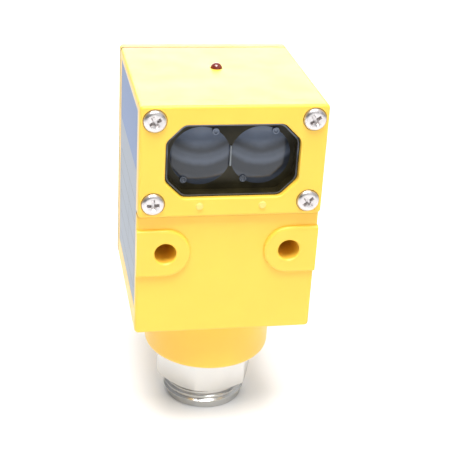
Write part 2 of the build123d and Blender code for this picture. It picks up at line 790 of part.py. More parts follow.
# ------------------------------------------------------------------ adjusters
with BuildPart() as adjuster_bodies:
    for x in (gain_x, selector_x):
        with BuildSketch(facing_rear(main_board_back, adjuster_height, x)):
            RectangleRounded(adjuster_body_size, adjuster_body_size, adjuster_corner_radius)
        extrude(amount=adjuster_body_depth)
        with BuildSketch(facing_front(adjuster_body_back, adjuster_height, x)):
            Circle(rotor_spigot_radius + rotor_clearance)
        extrude(amount=rotor_spigot_depth + rotor_clearance, mode=Mode.SUBTRACT)
        with BuildSketch(facing_front(adjuster_body_back, adjuster_height, x)):
            Circle(adjuster_ring_radius)
            Circle(rotor_spigot_radius + rotor_clearance, mode=Mode.SUBTRACT)
        extrude(amount=-adjuster_ring_height)
export(adjuster_bodies.part, "adjuster_bodies")

with BuildPart() as adjuster_leads:
    with BuildSketch(facing_front(main_board_back)):
        with Locations(adjuster_lead_points):
            Rectangle(lead_size, lead_size)
    extrude(amount=main_board_thickness + lead_end)
export(adjuster_leads.part, "adjuster_leads")


def rotor(x):
    """An adjuster's rotor: spigot, flange, shaft and a slot across its end."""
    with BuildPart() as turned:
        with BuildSketch(facing_rear(adjuster_body_back - rotor_spigot_depth, adjuster_height, x)):
            Circle(rotor_spigot_radius)
        extrude(amount=rotor_spigot_depth + rotor_flange_front - adjuster_body_back)
        with BuildSketch(facing_rear(rotor_flange_front, adjuster_height, x)):
            Circle(rotor_flange_radius)
        extrude(amount=rotor_flange_thickness)
        with BuildSketch(facing_rear(rotor_flange_front, adjuster_height, x)):
            Circle(rotor_radius)
        extrude(amount=rotor_end - rotor_flange_front)
        chamfer(turned.faces().sort_by(Axis.Y)[-1].edges(), rotor_edge)
        with BuildSketch(facing_rear(rotor_end, adjuster_height, x)):
            Rectangle(rotor_slot_width, 2 * rotor_radius)
        extrude(amount=-rotor_slot_depth, mode=Mode.SUBTRACT)
    return turned.part


gain_rotor = rotor(gain_x)
export(gain_rotor, "gain_rotor")
selector_rotor = rotor(selector_x)
export(selector_rotor, "selector_rotor")

# ------------------------------------------------------------------ rear cover
with BuildPart() as rear_cover:
    with BuildSketch(facing_rear(rear_cover_front, body_middle)):
        RectangleRounded(body_width, body_height, outline_radius)
    extrude(amount=rear_cover_thickness)
    fillet(rear_cover.faces().sort_by(Axis.Y)[-1].edges(), edge_radius)
    with BuildSketch(facing_rear(rear_plane_depth, adjuster_height)):
        RectangleRounded(panel_width, panel_height, panel_corner_radius)
    extrude(amount=-panel_recess, mode=Mode.SUBTRACT)
    # Holes for the rotors, the cover's screws and the mounting screws, then the pockets
    with BuildSketch(facing_front(rear_plane_depth)):
        with Locations(rotor_points):
            Circle(seal_inner_radius)
        with Locations(rear_screw_points):
            Circle(screw_radius + fit_gap)
        with Locations(mount_points):
            Circle(mount_hole_radius)
    extrude(amount=rear_cover_thickness, mode=Mode.SUBTRACT)
    with BuildSketch(facing_front(rear_plane_depth)):
        with Locations(rear_screw_points):
            Circle(screw_head_radius + fit_gap)
    extrude(amount=screw_head_height + fit_gap, mode=Mode.SUBTRACT)
    with BuildSketch(facing_front(rear_cover_front)):
        with Locations(rotor_points):
            Circle(seal_pocket_radius)
    extrude(amount=-seal_section - touch_gap, mode=Mode.SUBTRACT)
export(rear_cover.part, "rear_cover")

with BuildPart() as rear_gasket:
    with BuildSketch(facing_front(rear_cover_front)):
        with Locations((0, body_middle)):
            RectangleRounded(body_width, body_height, outline_radius)
            Rectangle(2 * inner_half_width, inner_top - inner_bottom, mode=Mode.SUBTRACT)
        with Locations(rear_screw_points):
            Circle(boss_radius)
        with Locations(mount_points):
            Circle(mount_tube_radius)
            Circle(mount_hole_radius, mode=Mode.SUBTRACT)
        with Locations(rear_screw_points):
            Circle(screw_radius + fit_gap, mode=Mode.SUBTRACT)
    extrude(amount=rear_gasket_thickness)
export(rear_gasket.part, "rear_gasket")

with BuildPart() as rear_screws:
    with Locations(*[facing_rear(seat_depth, z, x) for x, z in rear_screw_points]):
        add(pan_screw(screw_radius, rear_screw_length, screw_head_radius, screw_head_height))
export(rear_screws.part, "rear_screws")

with BuildPart() as rotor_seals:
    with Locations(*[facing_rear(rear_cover_front, z, x) for x, z in rotor_points]):
        add(ring(seal_inner_radius, seal_inner_radius + seal_section))
export(rotor_seals.part, "rotor_seals")

with BuildPart() as rear_plate:
    with BuildSketch(facing_rear(panel_floor, adjuster_height)):
        RectangleRounded(panel_width - 2 * fit_gap, panel_height - 2 * fit_gap, panel_corner_radius)
        with Locations([(x, 0) for x in (gain_x, selector_x)]):
            Circle(rear_plate_hole_radius, mode=Mode.SUBTRACT)
    extrude(amount=rear_plate_thickness)
export(rear_plate.part, "rear_plate")

# ------------------------------------------------------------------ side labels
for side, name in ((-1, "left_label"), (1, "right_label")):
    with BuildPart() as label:
        with BuildSketch(label_plane(side)):
            Rectangle(label_depth - 2 * fit_gap, label_height - 2 * fit_gap)
        extrude(amount=label_thickness)
    export(label.part, name)

# ------------------------------------------------------------------ indicator
with BuildPart() as indicator_lamp:
    with Locations((0, indicator_depth, indicator_base)):
        add(round_diode(indicator_flange_radius, indicator_radius, indicator_length, diode_flange_thickness))
export(indicator_lamp.part, "indicator_lamp")

indicator_seal_inner = indicator_radius + touch_gap
with BuildPart() as indicator_seal:
    with Locations((0, indicator_depth, inner_top - indicator_seal_thickness)):
        add(ring(indicator_seal_inner, indicator_seal_inner + indicator_seal_thickness))
export(indicator_seal.part, "indicator_seal")


def bent_run(across, depth, bottom, height, bend, end, radius):
    """A round run that goes up (or down) from the bottom, bends to the rear and ends there."""
    turn = 1 if height > bottom else -1
    side_view = Plane(origin=(across, 0, 0), x_dir=(0, 1, 0), z_dir=(1, 0, 0))
    arc_start = (depth, height - turn * bend)
    arc_end = (depth + bend, height)
    arc_middle = (
        depth + bend * (1 - math.cos(math.pi / 4)),
        height - turn * bend * (1 - math.sin(math.pi / 4)),
    )
    with BuildPart() as run:
        with BuildLine(side_view) as path:
            Line((depth, bottom), arc_start)
            ThreePointArc(arc_start, arc_middle, arc_end)
            Line(arc_end, (end, height))
        with BuildSketch(facing_up(bottom, across, depth)):
            Circle(radius)
        sweep(path=path.line)
    return run.part


with BuildPart() as indicator_leads:
    for x, z in indicator_points:
        lead_stop = main_board_back + lead_end
        add(bent_run(x, indicator_depth, indicator_base, z, indicator_lead_bend, lead_stop, lead_size / 2))
export(indicator_leads.part, "indicator_leads")

# ------------------------------------------------------------------ receptacle
thread_count = int((connector_thread_length - connector_thread_start) / connector_thread_pitch)

with BuildPart() as receptacle_shell:
    with BuildSketch(facing_up(0)):
        Circle(connector_thread_radius)
    extrude(amount=connector_thread_length)
    chamfer(receptacle_shell.edges().sort_by(Axis.Z)[0], connector_mouth_chamfer)
    with BuildSketch(facing_up(connector_thread_length)):
        RegularPolygon(connector_hex_flats / 2, 6, major_radius=False, rotation=connector_hex_turn)
    extrude(amount=collar_bottom - connector_thread_length)
    # The hexagon's lower corners are turned down
    with BuildSketch(Plane.XZ):
        with BuildLine():
            Polyline(
                (hex_turned_radius, connector_thread_length),
                (hex_corner_radius, connector_thread_length),
                (hex_corner_radius, connector_thread_length + hex_corner_rise),
                close=True,
            )
        make_face()
    revolve(axis=Axis.Z, mode=Mode.SUBTRACT)
    with BuildSketch(facing_up(collar_bottom)):
        Circle(connector_shank_radius)
    extrude(amount=connector_shank_length)
    # Bore from the mouth, with a shoulder behind the insert
    with BuildSketch(facing_up(0)):
        Circle(connector_bore_radius + touch_gap)
    extrude(amount=insert_top, mode=Mode.SUBTRACT)
    with BuildSketch(facing_up(insert_top)):
        Circle(connector_back_radius)
    extrude(amount=shank_top - insert_top, mode=Mode.SUBTRACT)
    # Thread, as rings at its pitch
    with BuildSketch(Plane.XZ):
        for turn in range(thread_count):
            groove_height = connector_thread_start + turn * connector_thread_pitch
            with BuildLine():
                Polyline(
                    (connector_thread_radius, groove_height - connector_groove_half_width),
                    (connector_thread_radius - connector_thread_groove, groove_height),
                    (connector_thread_radius, groove_height + connector_groove_half_width),
                    close=True,
                )
            make_face()
    revolve(axis=Axis.Z, mode=Mode.SUBTRACT)
    # Key inside the bore
    with BuildSketch(facing_up(key_inset)):
        with Locations((0, connector_bore_radius)):
            Rectangle(key_width, 2 * key_depth)
    extrude(amount=insert_face_height - key_inset)
export(receptacle_shell.part, "receptacle_shell")

pin_points = [(x, y) for x in (-pin_offset, pin_offset) for y in (-pin_offset, pin_offset)]

with BuildPart() as receptacle_insert:
    with BuildSketch(facing_up(insert_face_height)):
        Circle(connector_bore_radius)
        with Locations(pin_points):
            Circle(pin_radius + touch_gap, mode=Mode.SUBTRACT)
    extrude(amount=insert_length)
export(receptacle_insert.part, "receptacle_insert")

with BuildPart() as contact_pins:
    with BuildSketch(facing_up(pin_recess)):
        with Locations(pin_points):
            Circle(pin_radius)
    extrude(amount=insert_top - pin_recess)
    fillet(contact_pins.faces().sort_by(Axis.Z)[: len(pin_points)].edges(), pin_radius * 0.8)
    with BuildSketch(facing_up(insert_top)):
        with Locations(pin_points):
            Circle(pin_cup_radius)
    extrude(amount=pin_cup_length)
    with BuildSketch(facing_up(conductor_bottom)):
        with Locations(pin_points):
            Circle(conductor_radius + touch_gap)
    extrude(amount=cup_top - conductor_bottom, mode=Mode.SUBTRACT)
export(contact_pins.part, "contact_pins")

with BuildPart() as base_seal:
    with Locations((0, 0, collar_bottom)):
        add(ring(connector_shank_radius + touch_gap, connector_shank_radius + touch_gap + base_seal_section))
export(base_seal.part, "base_seal")

# ------------------------------------------------------------------ wires
wire_runs = [
    (x, y, height, bend)
    for x in (-pin_offset, pin_offset)
    for y, height, bend in (
        (-pin_offset, front_wire_height, front_wire_bend),
        (pin_offset, rear_wire_height, rear_wire_bend),
    )
]
for (x, y, height, bend), colour in zip(wire_runs, wire_colours):
    with BuildPart() as wire:
        add(bent_run(x, y, cup_top, height, bend, main_board_front - wire_strip, wire_radius))
        with BuildSketch(facing_up(conductor_bottom, x, y)):
            Circle(conductor_radius)
        extrude(amount=cup_top - conductor_bottom)
        with BuildSketch(facing_rear(main_board_front - wire_strip, height, x)):
            Circle(conductor_radius)
        extrude(amount=wire_strip + main_board_thickness + lead_end)
    export(wire.part, f"wire_{colour}")
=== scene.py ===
"""Photoelectric sensor with a twin lens, a screwed bezel, rear adjusters and a threaded receptacle.

Laid out as a Blender add-on and run as a script. Metres, +Z up, the lens looks towards -Y.
"""

import math

import bmesh
import bpy
from mathutils import Matrix, Vector


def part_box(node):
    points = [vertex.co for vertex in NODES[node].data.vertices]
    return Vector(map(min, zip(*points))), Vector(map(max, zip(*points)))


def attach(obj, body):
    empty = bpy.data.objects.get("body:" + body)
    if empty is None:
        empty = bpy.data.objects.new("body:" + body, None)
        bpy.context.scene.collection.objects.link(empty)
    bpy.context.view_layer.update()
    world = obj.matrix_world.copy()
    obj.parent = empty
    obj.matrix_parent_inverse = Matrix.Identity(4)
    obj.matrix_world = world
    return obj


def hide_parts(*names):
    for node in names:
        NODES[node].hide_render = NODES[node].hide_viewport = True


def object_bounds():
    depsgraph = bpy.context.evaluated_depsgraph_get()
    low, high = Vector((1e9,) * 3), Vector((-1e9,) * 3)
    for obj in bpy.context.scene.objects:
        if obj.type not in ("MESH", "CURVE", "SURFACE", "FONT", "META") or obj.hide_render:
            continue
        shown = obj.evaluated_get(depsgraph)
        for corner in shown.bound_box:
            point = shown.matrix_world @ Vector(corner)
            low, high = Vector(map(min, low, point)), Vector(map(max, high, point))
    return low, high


bl_info = {
    "name": "Photoelectric Sensor",
    "version": (1, 0, 0),
    "blender": (4, 5, 0),
    "location": "3D View > Sidebar > Sensor",
    "description": "Finishes a photoelectric sensor on its CAD frame",
    "category": "Object",
}

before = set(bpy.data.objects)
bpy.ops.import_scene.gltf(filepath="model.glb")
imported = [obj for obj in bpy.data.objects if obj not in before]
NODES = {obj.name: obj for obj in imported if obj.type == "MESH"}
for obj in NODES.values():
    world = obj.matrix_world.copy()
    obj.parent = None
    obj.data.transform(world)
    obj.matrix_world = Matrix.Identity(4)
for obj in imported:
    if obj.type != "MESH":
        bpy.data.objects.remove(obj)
CAD_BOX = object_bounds()
SENSOR = "sensor"
MM = 0.001


def node_box(name):
    """A CAD node's lowest and highest corners as vectors."""
    low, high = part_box(name)
    return Vector(low), Vector(high)


BEZEL_LOW, BEZEL_HIGH = node_box("bezel")
LENS_LOW, LENS_HIGH = node_box("lens_block")
SHELL_HIGH = node_box("receptacle_shell")[1]
SCREWS_LOW, SCREWS_HIGH = node_box("bezel_screws")
REAR_LOW, REAR_HIGH = node_box("rear_screws")
PLATE_HIGH = node_box("rear_plate")[1]
GAIN_LOW, GAIN_HIGH = node_box("gain_rotor")
SELECTOR_LOW, SELECTOR_HIGH = node_box("selector_rotor")
LAMP_LOW, LAMP_HIGH = node_box("indicator_lamp")
PIP_SPACING = 15.2 * MM
PIP_DROP = 2.0 * MM  # from the window's lower edge to the middle of a pip
PIP_RADIUS = 0.95 * MM
RUBBER = (0.02, 0.02, 0.02)
TIN = (0.62, 0.62, 0.60)
GOLD = (0.85, 0.62, 0.25)


# ------------------------------------------------------------------ what a user would change
def length(name, description, default):
    """A length that a user can change, in metres."""
    return bpy.props.FloatProperty(name=name, description=description, default=default, unit="LENGTH")


def tone(name, description, default):
    """A colour that a user can change."""
    return bpy.props.FloatVectorProperty(
        name=name, description=description, default=default, subtype="COLOR"
    )


class SensorSizes(bpy.types.PropertyGroup):
    """Sizes of the pieces that are modelled here."""

    window_width: length("Window width", "Clear width of the bezel's window", 0.0318)
    window_height: length("Window height", "Clear height of the bezel's window", 0.0182)
    window_cut: length("Window corner", "Length cut off each corner of the window", 0.0042)
    lens_radius: length("Lens radius", "Radius of each lens", 0.0073)
    lens_spacing: length("Lens spacing", "Distance between the two lenses' axes", 0.0144)
    lens_bulge: length("Lens bulge", "Height of each lens above the flat round it", 0.0011)
    lens_pocket: length("Lens pocket", "Depth of the pocket that the lenses stand in", 0.003)
    pocket_wall: length("Pocket wall", "Thickness of the wall round the pocket", 0.0005)
    screw_head_radius: length("Screw head radius", "Radius of the pan heads", 0.00275)
    screw_head_height: length("Screw head height", "Height of the pan heads", 0.0015)
    thread_radius: length("Thread radius", "Outer radius of the receptacle's thread", 0.01111)
    thread_pitch: length("Thread pitch", "Rise of the thread in one turn", 0.0015875)
    thread_length: length("Thread length", "Length of the threaded part", 0.0064)
    hex_flats: length("Hexagon", "Width of the hexagon across its flats", 0.024)
    hex_turn: bpy.props.FloatProperty(
        name="Hexagon turn",
        description="Angle from the X axis to a corner",
        default=math.radians(11),
        subtype="ANGLE",
    )
    bore_radius: length("Bore radius", "Radius of the receptacle's bore", 0.00862)


class SensorColours(bpy.types.PropertyGroup):
    """Colours of the finishes."""

    plastic: tone("Head", "Yellow of the moulded head", (0.93, 0.57, 0.062))
    lens: tone("Lens", "Slate tint of the lenses", (0.050, 0.060, 0.082))
    lens_rim: tone("Lens rim", "Dark flat round the lenses", (0.022, 0.018, 0.007))
    steel: tone("Screws", "Stainless steel of the screws", (0.64, 0.60, 0.59))
    # Painted shade: this dark colour on the cross recess's faces stands in for the shadow down in the
    # recess, not a duller metal.
    recess: tone("Screw recess", "Dull metal down in the cross recess", (0.10, 0.075, 0.07))
    nickel: tone("Receptacle", "Nickel plate of the receptacle", (0.56, 0.552, 0.535))
    brass: tone("Adjusters", "Brass of the adjusters' rotors", (0.78, 0.56, 0.22))
    label_field: tone("Label", "Silver field of the side labels", (0.235, 0.27, 0.325))
    label_band: tone("Label band", "Blue band of the side labels", (0.08, 0.155, 0.35))
    lamp: tone("Indicator", "Dark red of the indicator lamp", (0.16, 0.022, 0.012))
    floor: tone("Floor", "Pale floor and backdrop", (0.86, 0.87, 0.88))


def sizes():
    """The scene's sizes."""
    return bpy.context.scene.sensor_sizes


def colours():
    """The scene's colours."""
    return bpy.context.scene.sensor_colours


# ------------------------------------------------------------------ modelling helpers
def begin():
    """Leaves edit mode and deselects everything."""
    if bpy.context.object and bpy.context.object.mode != "OBJECT":
        bpy.ops.object.mode_set(mode="OBJECT")
    bpy.ops.object.select_all(action="DESELECT")


def only(obj):
    """Makes this object the only one selected, and the active one."""
    begin()
    obj.select_set(True)
    bpy.context.view_layer.objects.active = obj
    return obj


def edit(obj, kind="FACE"):
    """Enters edit mode on this object with nothing selected, and returns its open mesh."""
    only(obj)
    bpy.ops.object.mode_set(mode="EDIT")
    bpy.ops.mesh.select_mode(type=kind)
    bpy.ops.mesh.select_all(action="DESELECT")
    return bmesh.from_edit_mesh(obj.data)


def pick_faces(obj, test):
    """Selects the faces of the open mesh that pass the test."""
    mesh = bmesh.from_edit_mesh(obj.data)
    for face in mesh.faces:
        face.select_set(bool(test(face)))
    mesh.select_flush_mode()
    bmesh.update_edit_mesh(obj.data)


def pick_edges(obj, test):
    """Selects the edges of the open mesh that pass the test."""
    mesh = bmesh.from_edit_mesh(obj.data)
    for edge in mesh.edges:
        edge.select_set(bool(test(edge)))
    bmesh.update_edit_mesh(obj.data)


def middle(edge):
    """The middle of an edge."""
    return (edge.verts[0].co + edge.verts[1].co) / 2


def close_edit():
    """Back to object mode."""
    bpy.ops.object.mode_set(mode="OBJECT")


def cylinder(name, radius, low, high, sides=96):
    """A closed cylinder round the Z axis between two heights, ready to shape."""
    begin()
    bpy.ops.mesh.primitive_cylinder_add(
        vertices=sides, radius=radius, depth=high - low, location=(0, 0, (low + high) / 2)
    )
    obj = bpy.context.object
    obj.name = name
    bpy.ops.object.transform_apply(location=True, rotation=True, scale=True)
    return obj


def block(name, low, high):
    """A closed block between two corners, ready to shape."""
    begin()
    low, high = Vector(low), Vector(high)
    bpy.ops.mesh.primitive_cube_add(size=1, location=(low + high) / 2)
    obj = bpy.context.object
    obj.name = name
    obj.scale = high - low
    bpy.ops.object.transform_apply(location=True, rotation=True, scale=True)
    return obj


def cut(obj, tool, operation="DIFFERENCE"):
    """Applies a boolean with the tool, which is then removed."""
    only(obj)
    modifier = obj.modifiers.new("cut", "BOOLEAN")
    modifier.operation = operation
    modifier.solver = "EXACT"
    modifier.use_self = True
    modifier.object = tool
    bpy.ops.object.modifier_apply(modifier=modifier.name)
    bpy.data.objects.remove(tool)
    return obj


def soften(obj, width, segments=2, angle=30):
    """Applies a small bevel to the sharp edges."""
    only(obj)
    modifier = obj.modifiers.new("soften", "BEVEL")
    modifier.width = width
    modifier.segments = segments
    modifier.limit_method = "ANGLE"
    modifier.angle_limit = math.radians(angle)
    bpy.ops.object.modifier_apply(modifier=modifier.name)
    return obj


def join(objs, name):
    """Joins objects into the first one."""
    begin()
    for obj in objs:
        obj.select_set(True)
    bpy.context.view_layer.objects.active = objs[0]
    bpy.ops.object.join()
    joined = bpy.context.object
    joined.name = name
    return joined


def copy_to(obj, matrix):
    """A copy with its own mesh, placed by this matrix."""
    copied = obj.copy()
    copied.data = obj.data.copy()
    copied.data.transform(matrix)
    bpy.context.scene.collection.objects.link(copied)
    return copied


def clean(obj, smooth=35):
    """Merges doubles, turns the faces outwards and smooths all but the sharp edges."""
    edit(obj)
    bpy.ops.mesh.select_all(action="SELECT")
    bpy.ops.mesh.remove_doubles(threshold=0.000002)
    bpy.ops.mesh.normals_make_consistent(inside=False)
    close_edit()
    bpy.ops.object.shade_smooth_by_angle(angle=math.radians(smooth))
    return obj


def place(obj, name, body, slot, materials, *replaced):
    """Names a finished piece, gives it its materials, ties it to its body and hides the CAD nodes it
    replaces.
    """
    obj.name = name
    obj.data.name = name
    if not isinstance(materials, (list, tuple)):
        materials = [materials]
    keep = [polygon.material_index for polygon in obj.data.polygons]
    obj.data.materials.clear()
    for material in materials:
        obj.data.materials.append(material)
    for polygon, index in zip(obj.data.polygons, keep):
        polygon.material_index = min(index, len(materials) - 1)
    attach(obj, body)
    if replaced:
        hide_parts(*replaced)
    return obj


def towards(point, direction, turn=0.0):
    """A matrix that carries local +Z to this direction at this point, after a turn about local Z."""
    aim = Vector(direction).to_track_quat("Z", "Y").to_matrix().to_4x4()
    return Matrix.Translation(point) @ aim @ Matrix.Rotation(turn, 4, "Z")


# ------------------------------------------------------------------ material helpers
class Nodes:
    """A material's node tree with its main shader."""

    def __init__(self, name, colour, roughness, metallic=0.0):
        self.material = bpy.data.materials.new(name)
        self.material.use_nodes = True
        self.tree = self.material.node_tree
        self.shader = self.tree.nodes["Principled BSDF"]
        self.set("Base Color", (*colour, 1))
        self.set("Roughness", roughness)
        self.set("Metallic", metallic)
        self.coordinates = self.tree.nodes.new("ShaderNodeTexCoord").outputs["Object"]

    def add(self, kind, **values):
        """A node with its named inputs set."""
        node = self.tree.nodes.new(kind)
        for key, value in values.items():
            node.inputs[key].default_value = value
        return node

    def link(self, source, target):
        """Joins two sockets."""
        self.tree.links.new(source, target)

    def set(self, socket, value):
        """Sets an input of the main shader."""
        self.shader.inputs[socket].default_value = value

    def feed(self, socket, source):
        """Drives an input of the main shader with a pattern."""
        self.link(source, self.shader.inputs[socket])

    def noise(self, scale, detail=2.0, roughness=0.5):
        """A noise pattern over the piece, with its features 1/scale metres across."""
        noise = self.add("ShaderNodeTexNoise", Scale=scale, Detail=detail, Roughness=roughness)
        self.link(self.coordinates, noise.inputs["Vector"])
        return noise.outputs["Fac"]

    def ramp(self, source, stops, interpolation="LINEAR"):
        """A colour ramp with these (place, colour) stops."""
        ramp = self.tree.nodes.new("ShaderNodeValToRGB")
        ramp.color_ramp.interpolation = interpolation
        elements = ramp.color_ramp.elements
        while len(elements) < len(stops):
            elements.new(0.5)
        for element, (where, colour) in zip(elements, stops):
            element.position = where
            element.color = (*colour, 1)
        self.link(source, ramp.inputs["Fac"])
        return ramp.outputs["Color"]

    def spread(self, source, low, high, from_low=0.3, from_high=0.7):
        """Maps a pattern to a range of values."""
        limits = {"From Min": from_low, "From Max": from_high, "To Min": low, "To Max": high}
        node = self.add("ShaderNodeMapRange", **limits)
        self.link(source, node.inputs["Value"])
        return node.outputs["Result"]

    def tint(self, source, amount, colour):
        """Varies the base colour by this share, darker and lighter, with the pattern."""
        darker = tuple(c * (1 - amount) for c in colour)
        lighter = tuple(min(1.0, c * (1 + amount)) for c in colour)
        self.feed("Base Color", self.ramp(source, [(0.3, darker), (0.7, lighter)]))

    def bump(self, source, strength, distance, before=None):
        """Adds relief from a pattern; returns the bump node's normal."""
        bump = self.add("ShaderNodeBump", Strength=strength, Distance=distance)
        self.link(source, bump.inputs["Height"])
        if before is not None:
            self.link(before, bump.inputs["Normal"])
        self.feed("Normal", bump.outputs["Normal"])
        return bump.outputs["Normal"]

    def axis(self, letter):
        """The piece's own X, Y or Z in metres."""
        split = self.tree.nodes.new("ShaderNodeSeparateXYZ")
        self.link(self.coordinates, split.inputs["Vector"])
        return split.outputs[letter]

    def math(self, operation, first, second=None):
        """A math node on sockets or numbers."""
        node = self.tree.nodes.new("ShaderNodeMath")
        node.operation = operation
        for index, value in enumerate((first, second)):
            if value is None:
                continue
            if isinstance(value, (int, float)):
                node.inputs[index].default_value = value
            else:
                self.link(value, node.inputs[index])
        return node.outputs["Value"]

    def mix(self, factor, first, second):
        """Mixes two colours, each a socket or a colour."""
        node = self.tree.nodes.new("ShaderNodeMix")
        node.data_type = "RGBA"
        self.link(factor, node.inputs["Factor"])
        for index, value in ((6, first), (7, second)):
            if isinstance(value, (tuple, list)):
                node.inputs[index].default_value = (*value[:3], 1)
            else:
                self.link(value, node.inputs[index])
        return node.outputs[2]


def moulded_plastic(name, colour, roughness=0.36, grain=0.10):
    """Injection-moulded plastic: fine spark texture, faint flow clouds and uneven gloss."""
    nodes = Nodes(name, colour, roughness)
    nodes.tint(nodes.noise(90, 3), 0.02, colour)
    gloss = nodes.spread(nodes.noise(160, 4), roughness - 0.03, roughness + 0.05)
    nodes.feed("Roughness", gloss)
    peel = nodes.bump(nodes.noise(700, 2), grain * 0.5, 0.00006)
    nodes.bump(nodes.noise(5200, 2, 0.6), grain, 0.00003, peel)
    return nodes


def turned_metal(name, colour, roughness, letter, pitch=0.00022, relief=0.06, wear=1.0):
    """Machined metal with fine turning lines along one axis and some handling marks."""
    nodes = Nodes(name, colour, roughness, 1.0)
    lines = nodes.math("SINE", nodes.math("MULTIPLY", nodes.axis(letter), 2 * math.pi / pitch))
    gloss = nodes.spread(nodes.noise(900, 4, 0.65), roughness - 0.07 * wear, roughness + 0.12 * wear)
    nodes.feed("Roughness", gloss)
    nodes.tint(nodes.noise(260, 3), 0.06 * wear, colour)
    first = nodes.bump(lines, relief, 0.00002)
    nodes.bump(nodes.noise(2600, 3, 0.6), relief * wear, 0.00002, first)
    return nodes


def speckled(name, colour, roughness, metallic=0.0, scale=900, amount=0.12, relief=0.08):
    """A plain finish with a speckle and a light relief, for the pieces inside."""
    nodes = Nodes(name, colour, roughness, metallic)
    pattern = nodes.noise(scale, 3)
    nodes.tint(pattern, amount, colour)
    nodes.feed("Roughness", nodes.spread(pattern, roughness * 0.85, min(1.0, roughness * 1.2)))
    nodes.bump(pattern, relief, 0.00004)
    return nodes


def repaint(node, nodes):
    """Gives a CAD node a finish."""
    mesh = NODES[node].data
    mesh.materials.clear()
    mesh.materials.append(nodes.material)


# ------------------------------------------------------------------ head
class SENSOR_OT_head(bpy.types.Operator):
    """Finishes the moulded head, the bezel and the rear cover"""

    bl_idname = "sensor.head"
    bl_label = "Head"

    def execute(self, context):
        yellow = tuple(colours().plastic)
        head = moulded_plastic("head_plastic", yellow)
        self.shade_step(head, yellow)
        repaint("housing", head)
        bezel = moulded_plastic("bezel_plastic", yellow)
        self.paint_pip_highlights(bezel, yellow)
        repaint("bezel", bezel)
        repaint("rear_cover", moulded_plastic("cover_plastic", yellow))
        return {"FINISHED"}

    def patch(self, nodes, mask, paint):
        """Paints over the base colour where the mask is one."""
        base = nodes.shader.inputs["Base Color"]
        nodes.link(nodes.mix(mask, base.links[0].from_socket, paint), base)

    def shade_step(self, nodes, yellow):
        """Paints shade on the step under the bezel, in front: a painted shadow darkens the yellow there.
        """
        under = nodes.spread(nodes.axis("Z"), 0.0, 1.0, BEZEL_LOW.z - 0.9 * MM, BEZEL_LOW.z)
        front = nodes.math("LESS_THAN", nodes.axis("Y"), BEZEL_HIGH.y + 0.5 * MM)
        # Painted shade: the yellow is darkened to 62 percent just under the bezel, fading downwards.
        self.patch(nodes, nodes.math("MULTIPLY", under, front), tuple(0.62 * c for c in yellow))

    def paint_pip_highlights(self, nodes, yellow):
        """Paints a highlight on the two pips under the window: their yellow is painted lighter."""
        s = sizes()
        pip_height = (BEZEL_LOW.z + BEZEL_HIGH.z - s.window_height) / 2 - PIP_DROP
        across = nodes.math("SUBTRACT", nodes.math("ABSOLUTE", nodes.axis("X")), PIP_SPACING / 2)
        up = nodes.math("SUBTRACT", nodes.axis("Z"), pip_height)
        squares = [nodes.math("MULTIPLY", offset, offset) for offset in (across, up)]
        reach = nodes.math("SQRT", nodes.math("ADD", *squares))
        # Painted highlight: the pips' yellow is lightened where they catch the light.
        pip_highlight = tuple(0.1 + 0.9 * c for c in yellow)
        self.patch(nodes, nodes.math("LESS_THAN", reach, PIP_RADIUS), pip_highlight)


